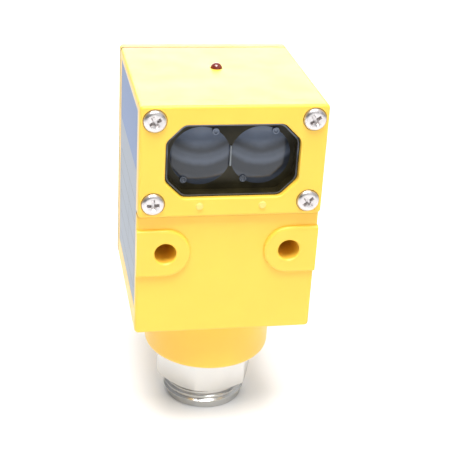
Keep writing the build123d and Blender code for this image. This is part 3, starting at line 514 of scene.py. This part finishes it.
# ------------------------------------------------------------------ lens
class SENSOR_OT_lens(bpy.types.Operator):
    """Models the twin lens block with its clamped flange"""

    bl_idname = "sensor.lens"
    bl_label = "Twin lens"

    def execute(self, context):
        s = sizes()
        height = (LENS_LOW.z + LENS_HIGH.z) / 2
        back_rise, back_radius = 0.8 * MM, 6.4 * MM
        rim, back = LENS_LOW.y, LENS_HIGH.y - back_rise
        flat = rim + s.lens_pocket
        bezel_back = BEZEL_HIGH.y
        flange_thickness, flange_corner = 1.5 * MM, s.window_cut + 0.9 * MM
        plate = self.plate("lens_plate", s.window_width, s.window_height, s.window_cut, rim, back, height)
        flange = self.plate(
            "lens_flange",
            LENS_HIGH.x - LENS_LOW.x,
            LENS_HIGH.z - LENS_LOW.z,
            flange_corner,
            bezel_back - flange_thickness,
            bezel_back,
            height,
        )
        body = cut(plate, flange, "UNION")
        walls = 2 * s.pocket_wall
        pocket = self.plate(
            "lens_pocket",
            s.window_width - walls,
            s.window_height - walls,
            s.window_cut - 0.3 * MM,
            rim - 1 * MM,
            flat,
            height,
        )
        body = cut(body, pocket)
        for side in (-1, 1):
            for depth, way, rise, radius in (
                (flat, -1, s.lens_bulge, s.lens_radius),
                (back, 1, back_rise, back_radius),
            ):
                cap = self.cap(radius, rise)
                cap.data.transform(towards((side * s.lens_spacing / 2, depth, height), (0, way, 0)))
                body = cut(body, cap, "UNION")
        for polygon in body.data.polygons:
            # The nearer lens is the one on the face's own side
            across = abs(polygon.center.x) - s.lens_spacing / 2
            reach = math.hypot(across, polygon.center.z - height)
            on_lens = reach < s.lens_radius * 0.998 and polygon.center.y < flat - 0.004 * MM
            polygon.material_index = 0 if on_lens else 1
        only(body)
        bpy.ops.object.shade_smooth_by_angle(angle=math.radians(25))
        glass, edge = self.glass(s, height), self.rim()
        place(body, "twin_lens", SENSOR, "tinted_lens", [glass.material, edge.material], "lens_block")
        self.details(s, flat, height, glass)
        return {"FINISHED"}

    def glass(self, s, height):
        """Slate moulding with painted reflections: light and dark bands are painted across each lens in
        its colour.
        """
        slate = tuple(colours().lens)
        nodes = Nodes("lens_slate_painted_reflections", slate, 0.09)
        x, z = nodes.axis("X"), nodes.axis("Z")
        across = nodes.math("SUBTRACT", nodes.math("ABSOLUTE", x), s.lens_spacing / 2)
        across = nodes.math("DIVIDE", across, s.lens_radius)
        up = nodes.math("DIVIDE", nodes.math("SUBTRACT", z, height), s.lens_radius)
        bow = nodes.math("MULTIPLY", nodes.math("MULTIPLY", across, across), 0.32)
        bowed = nodes.math("SUBTRACT", up, bow)
        cloud = nodes.math("MULTIPLY", nodes.math("SUBTRACT", nodes.noise(420, 3), 0.5), 0.12)
        reflection_band_place = nodes.spread(nodes.math("ADD", bowed, cloud), 0.0, 1.0, -1.2, 1.0)
        # Painted reflections and shade: the slate is darkened and lightened in bands, in place of the
        # reflections on the lenses.
        painted_reflection_levels = ((0.0, 1.0), (0.16, 0.9), (0.27, 0.42), (0.38, 0.4), (0.48, 1.5), (0.56, 1.1))
        painted_reflection_levels += ((0.65, 0.45), (0.80, 2.2), (0.93, 3.0))
        stops = [(where, tuple(c * share for c in slate)) for where, share in painted_reflection_levels]
        nodes.feed("Base Color", nodes.ramp(reflection_band_place, stops, "EASE"))
        nodes.feed("Roughness", nodes.spread(nodes.noise(500, 3), 0.07, 0.15))
        nodes.bump(nodes.noise(90, 2), 0.03, 0.0002)
        nodes.set("IOR", 1.49)
        nodes.set("Coat Weight", 0.05)
        nodes.set("Coat Roughness", 0.06)
        return nodes

    def rim(self):
        """Nearly black, slightly rough flat round the lenses."""
        colour = tuple(colours().lens_rim)
        nodes = Nodes("lens_rim", colour, 0.34)
        nodes.tint(nodes.noise(240, 3), 0.35, colour)
        nodes.feed("Roughness", nodes.spread(nodes.noise(900, 3), 0.28, 0.44))
        nodes.bump(nodes.noise(1500, 2), 0.08, 0.00004)
        nodes.set("Specular IOR Level", 0.25)
        return nodes

    def details(self, s, flat, height, glass):
        """The moulded rib between the lenses, with a painted highlight in its lighter grey, and the round
        location studs beside them.
        """
        half_width, stand, half_length, root = 0.22 * MM, 0.55 * MM, 2.6 * MM, 0.1 * MM
        rib = block(
            "lens_rib",
            (-half_width, flat - stand, height - half_length),
            (half_width, flat + root, height + half_length),
        )
        soften(rib, 0.18 * MM, 4)
        # Painted highlight: the rib is a lighter grey than the lens, standing in for the light line it
        # catches.
        ridge = speckled("lens_rib_painted_highlight", (0.20, 0.22, 0.24), 0.2, scale=900, amount=0.1)
        place(clean(rib), "lens_rib", SENSOR, "tinted_lens", ridge.material)
        parts = []
        reach = s.lens_radius * 0.97
        for side in (-1, 1):
            for turn in (math.radians(62), math.radians(236)):
                x = side * s.lens_spacing / 2 + math.cos(turn) * reach
                parts.append(self.stud((x, flat + 0.05 * MM, height + math.sin(turn) * reach)))
        piece = clean(join(parts, "lens_details"))
        place(piece, "lens_details", SENSOR, "tinted_lens", glass.material)

    def stud(self, where):
        """A low round stud with a dimple in its top."""
        obj = cylinder("stud", 0.85 * MM, 0, 0.62 * MM, 40)
        edit(obj)
        pick_faces(obj, lambda f: f.normal.z > 0.9)
        bpy.ops.mesh.inset(thickness=0.34 * MM, depth=0)
        bpy.ops.mesh.inset(thickness=0.12 * MM, depth=-0.22 * MM)
        close_edit()
        soften(obj, 0.07 * MM, 3, 35)
        obj.data.transform(towards(where, (0, -1, 0)))
        return obj

    def plate(self, name, width, height, corner, front, back, middle_height):
        """A plate between two depths, with cut and rounded corners."""
        low = (-width / 2, front, middle_height - height / 2)
        high = (width / 2, back, middle_height + height / 2)
        obj = block(name, low, high)
        edit(obj, "EDGE")
        # The corners are cut first, then what the cuts leave is rounded
        for offset, segments in ((corner, 1), (0.9 * MM, 5)):
            pick_edges(obj, lambda e: abs(e.verts[0].co.y - e.verts[1].co.y) > (back - front) / 2)
            bpy.ops.mesh.bevel(offset=offset, offset_type="OFFSET", segments=segments, affect="EDGES")
        pick_edges(obj, lambda e: abs(middle(e).y - front) < 0.01 * MM and len(e.link_faces) == 2)
        bpy.ops.mesh.bevel(offset=0.15 * MM, offset_type="OFFSET", segments=2, affect="EDGES")
        close_edit()
        return obj

    def cap(self, radius, rise):
        """A ball's cap with its flat at the origin and a short root below."""
        ball = (radius**2 + rise**2) / (2 * rise)
        begin()
        bpy.ops.mesh.primitive_uv_sphere_add(
            segments=96, ring_count=192, radius=ball, location=(0, 0, rise - ball)
        )
        obj = bpy.context.object
        bpy.ops.object.transform_apply(location=True, rotation=True, scale=True)
        edit(obj)
        bpy.ops.mesh.select_all(action="SELECT")
        bpy.ops.mesh.bisect(plane_co=(0, 0, 0), plane_no=(0, 0, 1), clear_inner=True, use_fill=False)
        close_edit()
        edit(obj, "EDGE")
        pick_edges(obj, lambda e: len(e.link_faces) == 1)
        bpy.ops.mesh.extrude_region_move(TRANSFORM_OT_translate={"value": (0, 0, -0.2 * MM)})
        bpy.ops.mesh.edge_face_add()
        close_edit()
        return clean(obj)


# ------------------------------------------------------------------ screws
def pan_screw(radius, height, shank, length):
    """A cross-recessed pan head screw with its head's underside at the origin."""
    head = cylinder("pan_head", radius, 0, height, 64)
    edit(head, "EDGE")
    pick_edges(head, lambda e: all(v.co.z > height * 0.9 for v in e.verts))
    bpy.ops.mesh.bevel(
        offset=height * 0.72, offset_type="OFFSET", segments=8, affect="EDGES", profile=0.55
    )
    pick_edges(head, lambda e: all(v.co.z < height * 0.05 for v in e.verts))
    bpy.ops.mesh.bevel(offset=0.08 * MM, offset_type="OFFSET", segments=2, affect="EDGES")
    pick_faces(head, lambda f: f.normal.z < -0.9 and len(f.verts) > 30)
    bpy.ops.mesh.inset(thickness=radius - 0.08 * MM - shank, depth=0)
    bpy.ops.mesh.extrude_region_move(TRANSFORM_OT_translate={"value": (0, 0, -length)})
    bpy.ops.mesh.inset(thickness=shank * 0.3, depth=0.25 * MM)
    close_edit()
    wing, arm, floor = radius * 1.2, radius * 0.32, height * 0.2
    for turn in (0.0, math.pi / 2):
        tool = block("wing", (-wing / 2, -arm / 2, floor), (wing / 2, arm / 2, height * 1.2))
        edit(tool, "VERT")
        mesh = bmesh.from_edit_mesh(tool.data)
        for vert in mesh.verts:
            vert.select_set(vert.co.z < height * 0.5)
        mesh.select_flush_mode()
        bpy.ops.transform.resize(value=(0.55, 0.7, 1), center_override=(0, 0, 0))
        close_edit()
        tool.data.transform(Matrix.Rotation(turn, 4, "Z"))
        head = cut(head, tool)
    head = soften(head, 0.03 * MM, 2, 40)
    # Painted shade: the faces down in the cross recess get the second material, a dark colour for the
    # recess's shadow.
    for polygon in head.data.polygons:
        reach = max(abs(polygon.center.x), abs(polygon.center.y))
        down = polygon.center.z < height * 0.9 and polygon.center.z > floor * 0.9
        polygon.material_index = 1 if down and reach < wing / 2 * 0.97 else 0
    return clean(head, 40)


def corner_points(low, high, radius):
    """The centres of four round heads that fill the corners of a box seen from the front."""
    return [
        (x, z)
        for x in (low.x + radius, high.x - radius)
        for z in (low.z + radius, high.z - radius)
    ]


class SENSOR_OT_screws(bpy.types.Operator):
    """Models the pan head screws of the bezel and of the rear cover"""

    bl_idname = "sensor.screws"
    bl_label = "Cover screws"

    def execute(self, context):
        s = sizes()
        steel = tuple(colours().steel)
        finish = turned_metal("stainless_steel", steel, 0.3, "X", 0.0006, 0.02)
        # The recess material is painted shade, dark where the cross recess lies in shadow.
        recess = speckled("screw_recess_painted_shade", tuple(colours().recess), 0.55, 0.6, scale=1500)
        groups = (
            ("bezel_pan_screws", "bezel_screws", SCREWS_LOW, SCREWS_HIGH, -1, (0.06, 0.5, 0.72, 0.6), 10),
            ("cover_pan_screws", "rear_screws", REAR_LOW, REAR_HIGH, 1, (0.6, 0.05, 1.3, 0.9), 9),
        )
        shank = 1.5 * MM
        for name, node, low, high, way, turns, reach in groups:
            shank_length = (reach - 0.3) * MM
            model = pan_screw(s.screw_head_radius, s.screw_head_height, shank, shank_length)
            top = low.y if way < 0 else high.y
            seat = top - way * s.screw_head_height
            placed = [
                copy_to(model, towards((x, seat, z), (0, way, 0), turn))
                for (x, z), turn in zip(corner_points(low, high, s.screw_head_radius), turns)
            ]
            bpy.data.objects.remove(model)
            place(join(placed, name), name, SENSOR, "steel", [finish.material, recess.material], node)
        return {"FINISHED"}


# ------------------------------------------------------------------ receptacle
class SENSOR_OT_receptacle(bpy.types.Operator):
    """Models the threaded receptacle with its hexagon, and finishes its insert and pins"""

    bl_idname = "sensor.receptacle"
    bl_label = "Receptacle"

    def execute(self, context):
        s = sizes()
        # The hexagon and the shank have no bore of their own, so they close the socket above the thread
        root, bore_depth = s.thread_radius - 0.58 * MM, 9.2 * MM
        barrel = cylinder("thread_core", root, 0, s.thread_length + 1 * MM)
        edit(barrel)
        pick_faces(barrel, lambda f: f.normal.z < -0.9)
        bpy.ops.mesh.inset(thickness=root - s.bore_radius, depth=0)
        bpy.ops.mesh.extrude_region_move(TRANSFORM_OT_translate={"value": (0, 0, bore_depth)})
        pick_edges(barrel, lambda e: all(v.co.z < 0.01 * MM for v in e.verts) and len(e.link_faces) == 2)
        bpy.ops.mesh.bevel(offset=0.3 * MM, offset_type="OFFSET", segments=3, affect="EDGES")
        close_edit()
        clean(barrel)
        collar_bottom, shank_radius = 16 * MM, 9.98 * MM
        hexagon = self.hexagon(s.hex_flats, s.thread_length, collar_bottom)
        shank = cylinder("shank", shank_radius, collar_bottom - 0.1 * MM, SHELL_HIGH.z, 64)
        soften(shank, 0.3 * MM)
        key_in, key_out = s.bore_radius - 0.9 * MM, s.bore_radius + 0.3 * MM
        key = block("key", (-1 * MM, key_in, 2 * MM), (1 * MM, key_out, 9 * MM))
        soften(key, 0.15 * MM, 3)
        thread = self.thread(s, root)
        shell = join([barrel, hexagon, shank, key, thread], "shell")
        only(shell)
        bpy.ops.object.shade_smooth_by_angle(angle=math.radians(35))
        nickel = turned_metal("nickel_plate", tuple(colours().nickel), 0.2, "Z", 0.00018, 0.03, 0.3)
        place(shell, "threaded_shell", SENSOR, "plated_shell", nickel.material, "receptacle_shell")
        repaint("receptacle_insert", moulded_plastic("insert_plastic", (0.035, 0.035, 0.036), 0.45))
        repaint("contact_pins", turned_metal("pin_gold", GOLD, 0.2, "Z", 0.0003, 0.03))
        repaint("base_seal", speckled("seal_rubber", RUBBER, 0.6))
        return {"FINISHED"}

    def hexagon(self, flats, low, high):
        """A hexagon with its lower corners turned down."""
        obj = cylinder("hexagon", flats / math.sqrt(3), low, high, 6)
        corner = max(obj.data.vertices, key=lambda v: v.co.x).co
        obj.data.transform(Matrix.Rotation(sizes().hex_turn - math.atan2(corner.y, corner.x), 4, "Z"))
        begin()
        slope, under = math.tan(math.radians(30)), 1 * MM
        seat = flats / 2 - 0.1 * MM
        bpy.ops.mesh.primitive_cone_add(
            vertices=128,
            radius1=seat - under / slope,
            radius2=seat + (high - low) / slope,
            depth=high - low + under,
            location=(0, 0, (low - under + high) / 2),
        )
        round_off = bpy.context.object
        bpy.ops.object.transform_apply(location=True, rotation=True, scale=True)
        obj = cut(obj, round_off, "INTERSECT")
        return soften(obj, 0.12 * MM, 3, 20)

    def thread(self, s, root):
        """A helical ridge with faded ends, wound round the core."""
        begin()
        bpy.ops.mesh.primitive_circle_add(vertices=4, radius=0.5 * MM, fill_type="NGON")
        obj = bpy.context.object
        low = 1.2 * MM
        turns = (s.thread_length - low - 0.85 * MM) / s.thread_pitch
        half_root, half_crest = s.thread_pitch * 0.46, s.thread_pitch * 0.09
        profile = (
            (root - 0.1 * MM, -half_root),
            (s.thread_radius, -half_crest),
            (s.thread_radius, half_crest),
            (root - 0.1 * MM, half_root),
        )
        for vert, (radius, height) in zip(obj.data.vertices, profile):
            vert.co = (radius, 0, low + height)
        screw = obj.modifiers.new("wind", "SCREW")
        screw.axis = "Z"
        screw.angle = 2 * math.pi * turns
        screw.screw_offset = s.thread_pitch * turns
        screw.steps = screw.render_steps = int(80 * turns)
        screw.use_merge_vertices = False
        screw.use_smooth_shade = True
        edit(obj)
        bpy.ops.mesh.select_all(action="SELECT")
        bpy.ops.mesh.delete(type="ONLY_FACE")
        close_edit()
        only(obj)
        bpy.ops.object.modifier_apply(modifier=screw.name)
        top = s.thread_pitch * turns
        fade = s.thread_pitch * 0.35
        for vert in obj.data.vertices:
            spread = math.hypot(vert.co.x, vert.co.y)
            rise = vert.co.z - low
            share = max(0.0, min(1.0, rise / fade, (top - rise) / fade))
            target = root - 0.12 * MM + (spread - root + 0.12 * MM) * share
            vert.co.x *= target / spread
            vert.co.y *= target / spread
        edit(obj, "EDGE")
        pick_edges(obj, lambda e: len(e.link_faces) == 1)
        bpy.ops.mesh.edge_face_add()
        close_edit()
        return clean(obj)


# ------------------------------------------------------------------ adjusters and rear plate
class SENSOR_OT_rear(bpy.types.Operator):
    """Finishes the adjusters and models the printed marks round them"""

    bl_idname = "sensor.rear"
    bl_label = "Rear adjusters"

    def execute(self, context):
        brass = tuple(colours().brass)
        for node, name in (("gain_rotor", "gain_brass"), ("selector_rotor", "selector_brass")):
            repaint(node, turned_metal(name, brass, 0.26, "Y", 0.00025, 0.05))
        film = speckled("plate_film", (0.018, 0.019, 0.021), 0.42, scale=2400, amount=0.15, relief=0.12)
        repaint("rear_plate", film)
        white = speckled("mark_ink", (0.78, 0.78, 0.76), 0.5, scale=3000, amount=0.04)
        marks = []
        gain = Vector(((GAIN_LOW.x + GAIN_HIGH.x) / 2, PLATE_HIGH.y, (GAIN_LOW.z + GAIN_HIGH.z) / 2))
        selector = Vector(((SELECTOR_LOW.x + SELECTOR_HIGH.x) / 2, PLATE_HIGH.y, gain.z))
        ticks, sweep = 11, 270
        for step in range(ticks):
            share = step / (ticks - 1)
            angle = math.radians(sweep * (share - 0.5))
            marks.append(self.tick(gain, angle, (0.5 + 0.8 * share) * MM))
        for angle in (0, 90):
            marks.append(self.tick(selector, math.radians(angle), 1.2 * MM))
        dot_radius = 0.75 * MM
        marks.append(self.dot(selector, math.radians(45), dot_radius, 0.0))
        marks.append(self.dot(selector, math.radians(-45), dot_radius, 0.42 * MM))
        piece = clean(join(marks, "dial_marks"))
        place(piece, "dial_marks", SENSOR, "rear_plate", white.material)
        repaint("rotor_seals", speckled("rotor_seal_rubber", RUBBER, 0.6))
        repaint("rear_gasket", speckled("gasket_rubber", (0.025, 0.025, 0.027), 0.7))
        return {"FINISHED"}

    def spot(self, centre, angle, distance):
        """A place round an adjuster, the angle clockwise from the top as seen from behind."""
        return centre + Vector((-math.sin(angle) * distance, 0, math.cos(angle) * distance))

    def tick(self, centre, angle, length):
        """A short radial mark with rounded corners."""
        width, thick = 0.28 * MM, 0.05 * MM
        inner = 3.7 * MM
        obj = block("tick", (-width / 2, -0.02 * MM, inner), (width / 2, thick, inner + length))
        soften(obj, 0.04 * MM, 2)
        obj.data.transform(Matrix.Translation(centre) @ Matrix.Rotation(-angle, 4, "Y"))
        return obj

    def dot(self, centre, angle, radius, hole):
        """A printed disc, or a ring where it has a hole."""
        obj = cylinder("dot", radius, -0.02 * MM, 0.05 * MM, 48)
        if hole:
            cut(obj, cylinder("hole", hole, -1 * MM, 1 * MM, 48))
        soften(obj, 0.015 * MM, 1)
        obj.data.transform(towards(self.spot(centre, angle, 5.1 * MM), (0, 1, 0)))
        return obj


# ------------------------------------------------------------------ labels
class SENSOR_OT_labels(bpy.types.Operator):
    """Finishes the two side labels with plain printed fields"""

    bl_idname = "sensor.labels"
    bl_label = "Side labels"

    def execute(self, context):
        field, band = tuple(colours().label_field), tuple(colours().label_band)
        for node in ("left_label", "right_label"):
            low, high = node_box(node)
            nodes = Nodes(node + "_print", field, 0.4)
            y, z = nodes.axis("Y"), nodes.axis("Z")
            height = high.z - low.z
            depth = high.y - low.y
            ink, rule, edge = tuple(c * 0.25 for c in field), 0.25 * MM, 0.6 * MM
            left, right = low.y + 0.07 * depth, high.y - 0.07 * depth
            bottom, top = low.z + 0.08 * height, low.z + 0.54 * height
            band_mask = self.box(nodes, y, z, low.y, high.y, high.z - 0.30 * height, high.z)
            base = nodes.mix(band_mask, field, band)
            grain = nodes.noise(1400, 2)
            for row in range(5):
                level = bottom + 0.115 * row * height
                base = nodes.mix(self.box(nodes, y, z, left, right, level, level + rule), base, ink)
            for column in (0.07, 0.42, 0.93):
                start = low.y + column * depth
                base = nodes.mix(self.box(nodes, y, z, start, start + rule, bottom, top), base, ink)
            inside = self.box(nodes, y, z, low.y + edge, high.y - edge, low.z + edge, high.z - edge)
            base = nodes.mix(inside, tuple(min(1, c * 1.35) for c in field), base)
            nodes.feed("Base Color", base)
            nodes.set("Metallic", 0.1)
            nodes.set("Specular IOR Level", 0.3)
            nodes.bump(grain, 0.05, 0.00003)
            repaint(node, nodes)
        return {"FINISHED"}

    def box(self, nodes, y, z, y_low, y_high, z_low, z_high):
        """One inside a rectangle and nought outside."""
        parts = [
            nodes.math("GREATER_THAN", y, y_low),
            nodes.math("LESS_THAN", y, y_high),
            nodes.math("GREATER_THAN", z, z_low),
            nodes.math("LESS_THAN", z, z_high),
        ]
        first = nodes.math("MULTIPLY", parts[0], parts[1])
        second = nodes.math("MULTIPLY", parts[2], parts[3])
        return nodes.math("MULTIPLY", first, second)


# ------------------------------------------------------------------ indicator
class SENSOR_OT_indicator(bpy.types.Operator):
    """Models the indicator lamp on top of the head"""

    bl_idname = "sensor.indicator"
    bl_label = "Indicator lamp"

    def execute(self, context):
        centre = (LAMP_LOW + LAMP_HIGH) / 2
        radius = 1.5 * MM
        flange = (LAMP_HIGH.x - LAMP_LOW.x) / 2
        flange_height = 1 * MM
        lamp = cylinder("lamp", radius, LAMP_LOW.z, LAMP_HIGH.z - radius, 48)
        edit(lamp)
        step_angle = math.radians(10)
        for step in range(8):
            angle = step * step_angle
            pick_faces(lamp, lambda f: f.normal.z > 0.9 and len(f.verts) > 20)
            ring = radius * (math.cos(angle) - math.cos(angle + step_angle))
            rise = radius * (math.sin(angle + step_angle) - math.sin(angle))
            bpy.ops.mesh.inset(thickness=ring, depth=rise)
        close_edit()
        collar = cylinder("collar", flange, LAMP_LOW.z, LAMP_LOW.z + flange_height, 48)
        lamp = soften(cut(lamp, collar, "UNION"), 0.06 * MM, 2, 50)
        clean(lamp, 45)
        lamp.data.transform(Matrix.Translation((centre.x, centre.y, 0)))
        red = tuple(colours().lamp)
        nodes = Nodes("lamp_epoxy", red, 0.14)
        nodes.tint(nodes.noise(700, 2), 0.15, red)
        nodes.bump(nodes.noise(1200, 2), 0.04, 0.00004)
        nodes.set("Coat Weight", 0.5)
        nodes.set("Subsurface Weight", 0.15)
        nodes.set("Subsurface Radius", (0.002, 0.0005, 0.0004))
        place(lamp, "lamp_dome", SENSOR, "lamp_lens", nodes.material, "indicator_lamp")
        repaint("indicator_seal", speckled("lamp_seal_rubber", RUBBER, 0.6))
        repaint("indicator_leads", speckled("lamp_lead_tin", TIN, 0.3, 1.0))
        return {"FINISHED"}


# ------------------------------------------------------------------ inside
class SENSOR_OT_inside(bpy.types.Operator):
    """Finishes the boards, the optics and the wires inside the head"""

    bl_idname = "sensor.inside"
    bl_label = "Inside"

    def execute(self, context):
        laminate = (0.018, 0.115, 0.045)
        epoxy = (0.022, 0.022, 0.024)
        grainy = {"scale": 2600, "amount": 0.25, "relief": 0.2}
        finishes = {
            "lens_gasket": speckled("lens_gasket_rubber", RUBBER, 0.65),
            "optics_barrel": moulded_plastic("barrel_plastic", (0.015, 0.015, 0.015), 0.55),
            "optics_board": speckled("optics_laminate", laminate, 0.32, scale=1800, amount=0.18),
            "main_board": speckled("main_laminate", laminate, 0.32, scale=1800, amount=0.18),
            "emitter": speckled("emitter_epoxy", (0.10, 0.08, 0.16), 0.1, scale=300),
            "receiver": speckled("receiver_epoxy", (0.02, 0.015, 0.018), 0.12, scale=300),
            "diode_leads": speckled("diode_tin", TIN, 0.3, 1.0),
            "optics_screws": turned_metal("small_screw_steel", tuple(colours().steel), 0.3, "Y"),
            "board_screws": turned_metal("board_screw_steel", tuple(colours().steel), 0.3, "Y"),
            "header_block": moulded_plastic("header_plastic", (0.02, 0.02, 0.02), 0.5),
            "header_pins": speckled("header_gold", GOLD, 0.25, 1.0),
            "chips": speckled("chip_epoxy", epoxy, 0.6, **grainy),
            "chip_legs": speckled("leg_tin", TIN, 0.28, 1.0),
            "capacitors": turned_metal("capacitor_can", (0.66, 0.67, 0.70), 0.3, "Z", 0.0004, 0.03),
            "resistors": speckled("resistor_film", (0.03, 0.03, 0.034), 0.35, scale=2000),
            "output_transistor": speckled("transistor_epoxy", epoxy, 0.55, **grainy),
            "adjuster_bodies": moulded_plastic("adjuster_plastic", (0.02, 0.07, 0.30), 0.42),
            "adjuster_leads": speckled("adjuster_tin", TIN, 0.3, 1.0),
            "wire_brown": moulded_plastic("brown_sleeve", (0.085, 0.032, 0.012), 0.4),
            "wire_white": moulded_plastic("white_sleeve", (0.74, 0.74, 0.72), 0.4),
            "wire_blue": moulded_plastic("blue_sleeve", (0.015, 0.06, 0.33), 0.4),
            "wire_black": moulded_plastic("black_sleeve", (0.012, 0.012, 0.012), 0.4),
        }
        for node, nodes in finishes.items():
            repaint(node, nodes)
        return {"FINISHED"}


# ------------------------------------------------------------------ stage
class SENSOR_OT_stage(bpy.types.Operator):
    """Sets the pale floor, the soft lights and the camera"""

    bl_idname = "sensor.stage"
    bl_label = "Stage"

    def execute(self, context):
        begin()
        bpy.ops.mesh.primitive_plane_add(size=6, location=(0, 1.0, CAD_BOX[0][2]))
        floor = bpy.context.object
        floor.name = "floor"
        bpy.ops.object.transform_apply(location=True, rotation=True, scale=True)
        edit(floor, "EDGE")
        pick_edges(floor, lambda e: middle(e).y > 3.5)
        bpy.ops.mesh.extrude_region_move(TRANSFORM_OT_translate={"value": (0, 0, 4)})
        pick_edges(floor, lambda e: middle(e).y > 3.5 and middle(e).z < 0.01)
        bpy.ops.mesh.bevel(offset=1.2, offset_type="OFFSET", segments=12, affect="EDGES")
        close_edit()
        bpy.ops.object.shade_smooth()
        paper = tuple(colours().floor)
        nodes = Nodes("pale_paper", paper, 0.7)
        nodes.tint(nodes.noise(6, 2), 0.012, paper)
        floor.data.materials.append(nodes.material)

        self.room(context)
        middle_point = (0.0, 0.0, 0.05)
        self.lamp("top_light", (-0.05, -0.22, 0.80), 0.5, 0.45, 9.5, middle_point)
        self.lamp("back_light", (0.0, 0.9, 0.42), 0.9, 0.4, 5.0, middle_point)
        self.lamp("front_light", (0.35, -1.0, 0.45), 0.8, 0.5, 1.2, middle_point)

        camera = bpy.data.cameras.new("camera")
        camera.lens = 90
        camera.sensor_width = 36
        camera.clip_start = 0.01
        holder = bpy.data.objects.new("camera", camera)
        context.scene.collection.objects.link(holder)
        station = Vector((-0.0499, -0.262, 0.1782))
        aim = Vector((0.0033, -0.002, 0.0513))
        holder.rotation_euler = (aim - station).to_track_quat("-Z", "Y").to_euler()
        holder.rotation_euler.rotate_axis("Z", math.radians(3.3))
        holder.location = station
        context.scene.camera = holder
        context.scene.view_settings.view_transform = "Standard"
        return {"FINISHED"}

    def room(self, context):
        """A soft room, bright above, dimmer at eye level, in front and on the left."""
        world = bpy.data.worlds.new("soft_room")
        world.use_nodes = True
        tree = world.node_tree
        way = tree.nodes.new("ShaderNodeTexCoord")
        split = tree.nodes.new("ShaderNodeSeparateXYZ")
        tree.links.new(way.outputs["Generated"], split.inputs["Vector"])
        levels = []
        gradients = (("Z", 0.0, 0.45, 0.35), ("Y", -0.9, 0.1, 0.55), ("X", -0.95, -0.1, 0.33))
        for axis, low, high, dim in gradients:
            level = tree.nodes.new("ShaderNodeMapRange")
            level.inputs["From Min"].default_value = low
            level.inputs["From Max"].default_value = high
            level.inputs["To Min"].default_value = dim
            level.inputs["To Max"].default_value = 1.0
            tree.links.new(split.outputs[axis], level.inputs["Value"])
            levels.append(level.outputs["Result"])
        level = levels[0]
        for other in levels[1:]:
            both = tree.nodes.new("ShaderNodeMath")
            both.operation = "MULTIPLY"
            tree.links.new(level, both.inputs[0])
            tree.links.new(other, both.inputs[1])
            level = both.outputs["Value"]
        background = tree.nodes["Background"]
        background.inputs["Color"].default_value = (0.97, 0.985, 1.0, 1)
        strength = tree.nodes.new("ShaderNodeMath")
        strength.operation = "MULTIPLY"
        strength.inputs[1].default_value = 0.8
        tree.links.new(level, strength.inputs[0])
        tree.links.new(strength.outputs["Value"], background.inputs["Strength"])
        context.scene.world = world

    def lamp(self, name, where, width, height, power, target):
        """A soft rectangular light that faces a point."""
        light = bpy.data.lights.new(name, "AREA")
        light.shape = "RECTANGLE"
        light.size = width
        light.size_y = height
        light.energy = power
        holder = bpy.data.objects.new(name, light)
        bpy.context.scene.collection.objects.link(holder)
        holder.location = where
        way = Vector(target) - Vector(where)
        holder.rotation_euler = way.to_track_quat("-Z", "Y").to_euler()


class SENSOR_PT_panel(bpy.types.Panel):
    """Lists the pieces, their sizes and their colours"""

    bl_idname = "SENSOR_PT_panel"
    bl_label = "Photoelectric Sensor"
    bl_space_type = "VIEW_3D"
    bl_region_type = "UI"
    bl_category = "Sensor"

    def draw(self, context):
        for operator in OPERATORS:
            self.layout.operator(operator.bl_idname)
        for group in (context.scene.sensor_sizes, context.scene.sensor_colours):
            column = self.layout.column()
            for key in group.__annotations__:
                column.prop(group, key)


OPERATORS = (
    SENSOR_OT_head,
    SENSOR_OT_lens,
    SENSOR_OT_screws,
    SENSOR_OT_receptacle,
    SENSOR_OT_rear,
    SENSOR_OT_labels,
    SENSOR_OT_indicator,
    SENSOR_OT_inside,
    SENSOR_OT_stage,
)
CLASSES = (SensorSizes, SensorColours, *OPERATORS, SENSOR_PT_panel)


def register():
    """Registers the classes and the scene's properties."""
    for cls in CLASSES:
        bpy.utils.register_class(cls)
    bpy.types.Scene.sensor_sizes = bpy.props.PointerProperty(type=SensorSizes)
    bpy.types.Scene.sensor_colours = bpy.props.PointerProperty(type=SensorColours)


def unregister():
    """Removes the properties and the classes."""
    del bpy.types.Scene.sensor_colours
    del bpy.types.Scene.sensor_sizes
    for cls in reversed(CLASSES):
        bpy.utils.unregister_class(cls)


def main():
    """Builds every piece in order."""
    register()
    bpy.ops.sensor.head()
    bpy.ops.sensor.lens()
    bpy.ops.sensor.screws()
    bpy.ops.sensor.receptacle()
    bpy.ops.sensor.rear()
    bpy.ops.sensor.labels()
    bpy.ops.sensor.indicator()
    bpy.ops.sensor.inside()
    bpy.ops.sensor.stage()


if __name__ == "__main__":
    main()
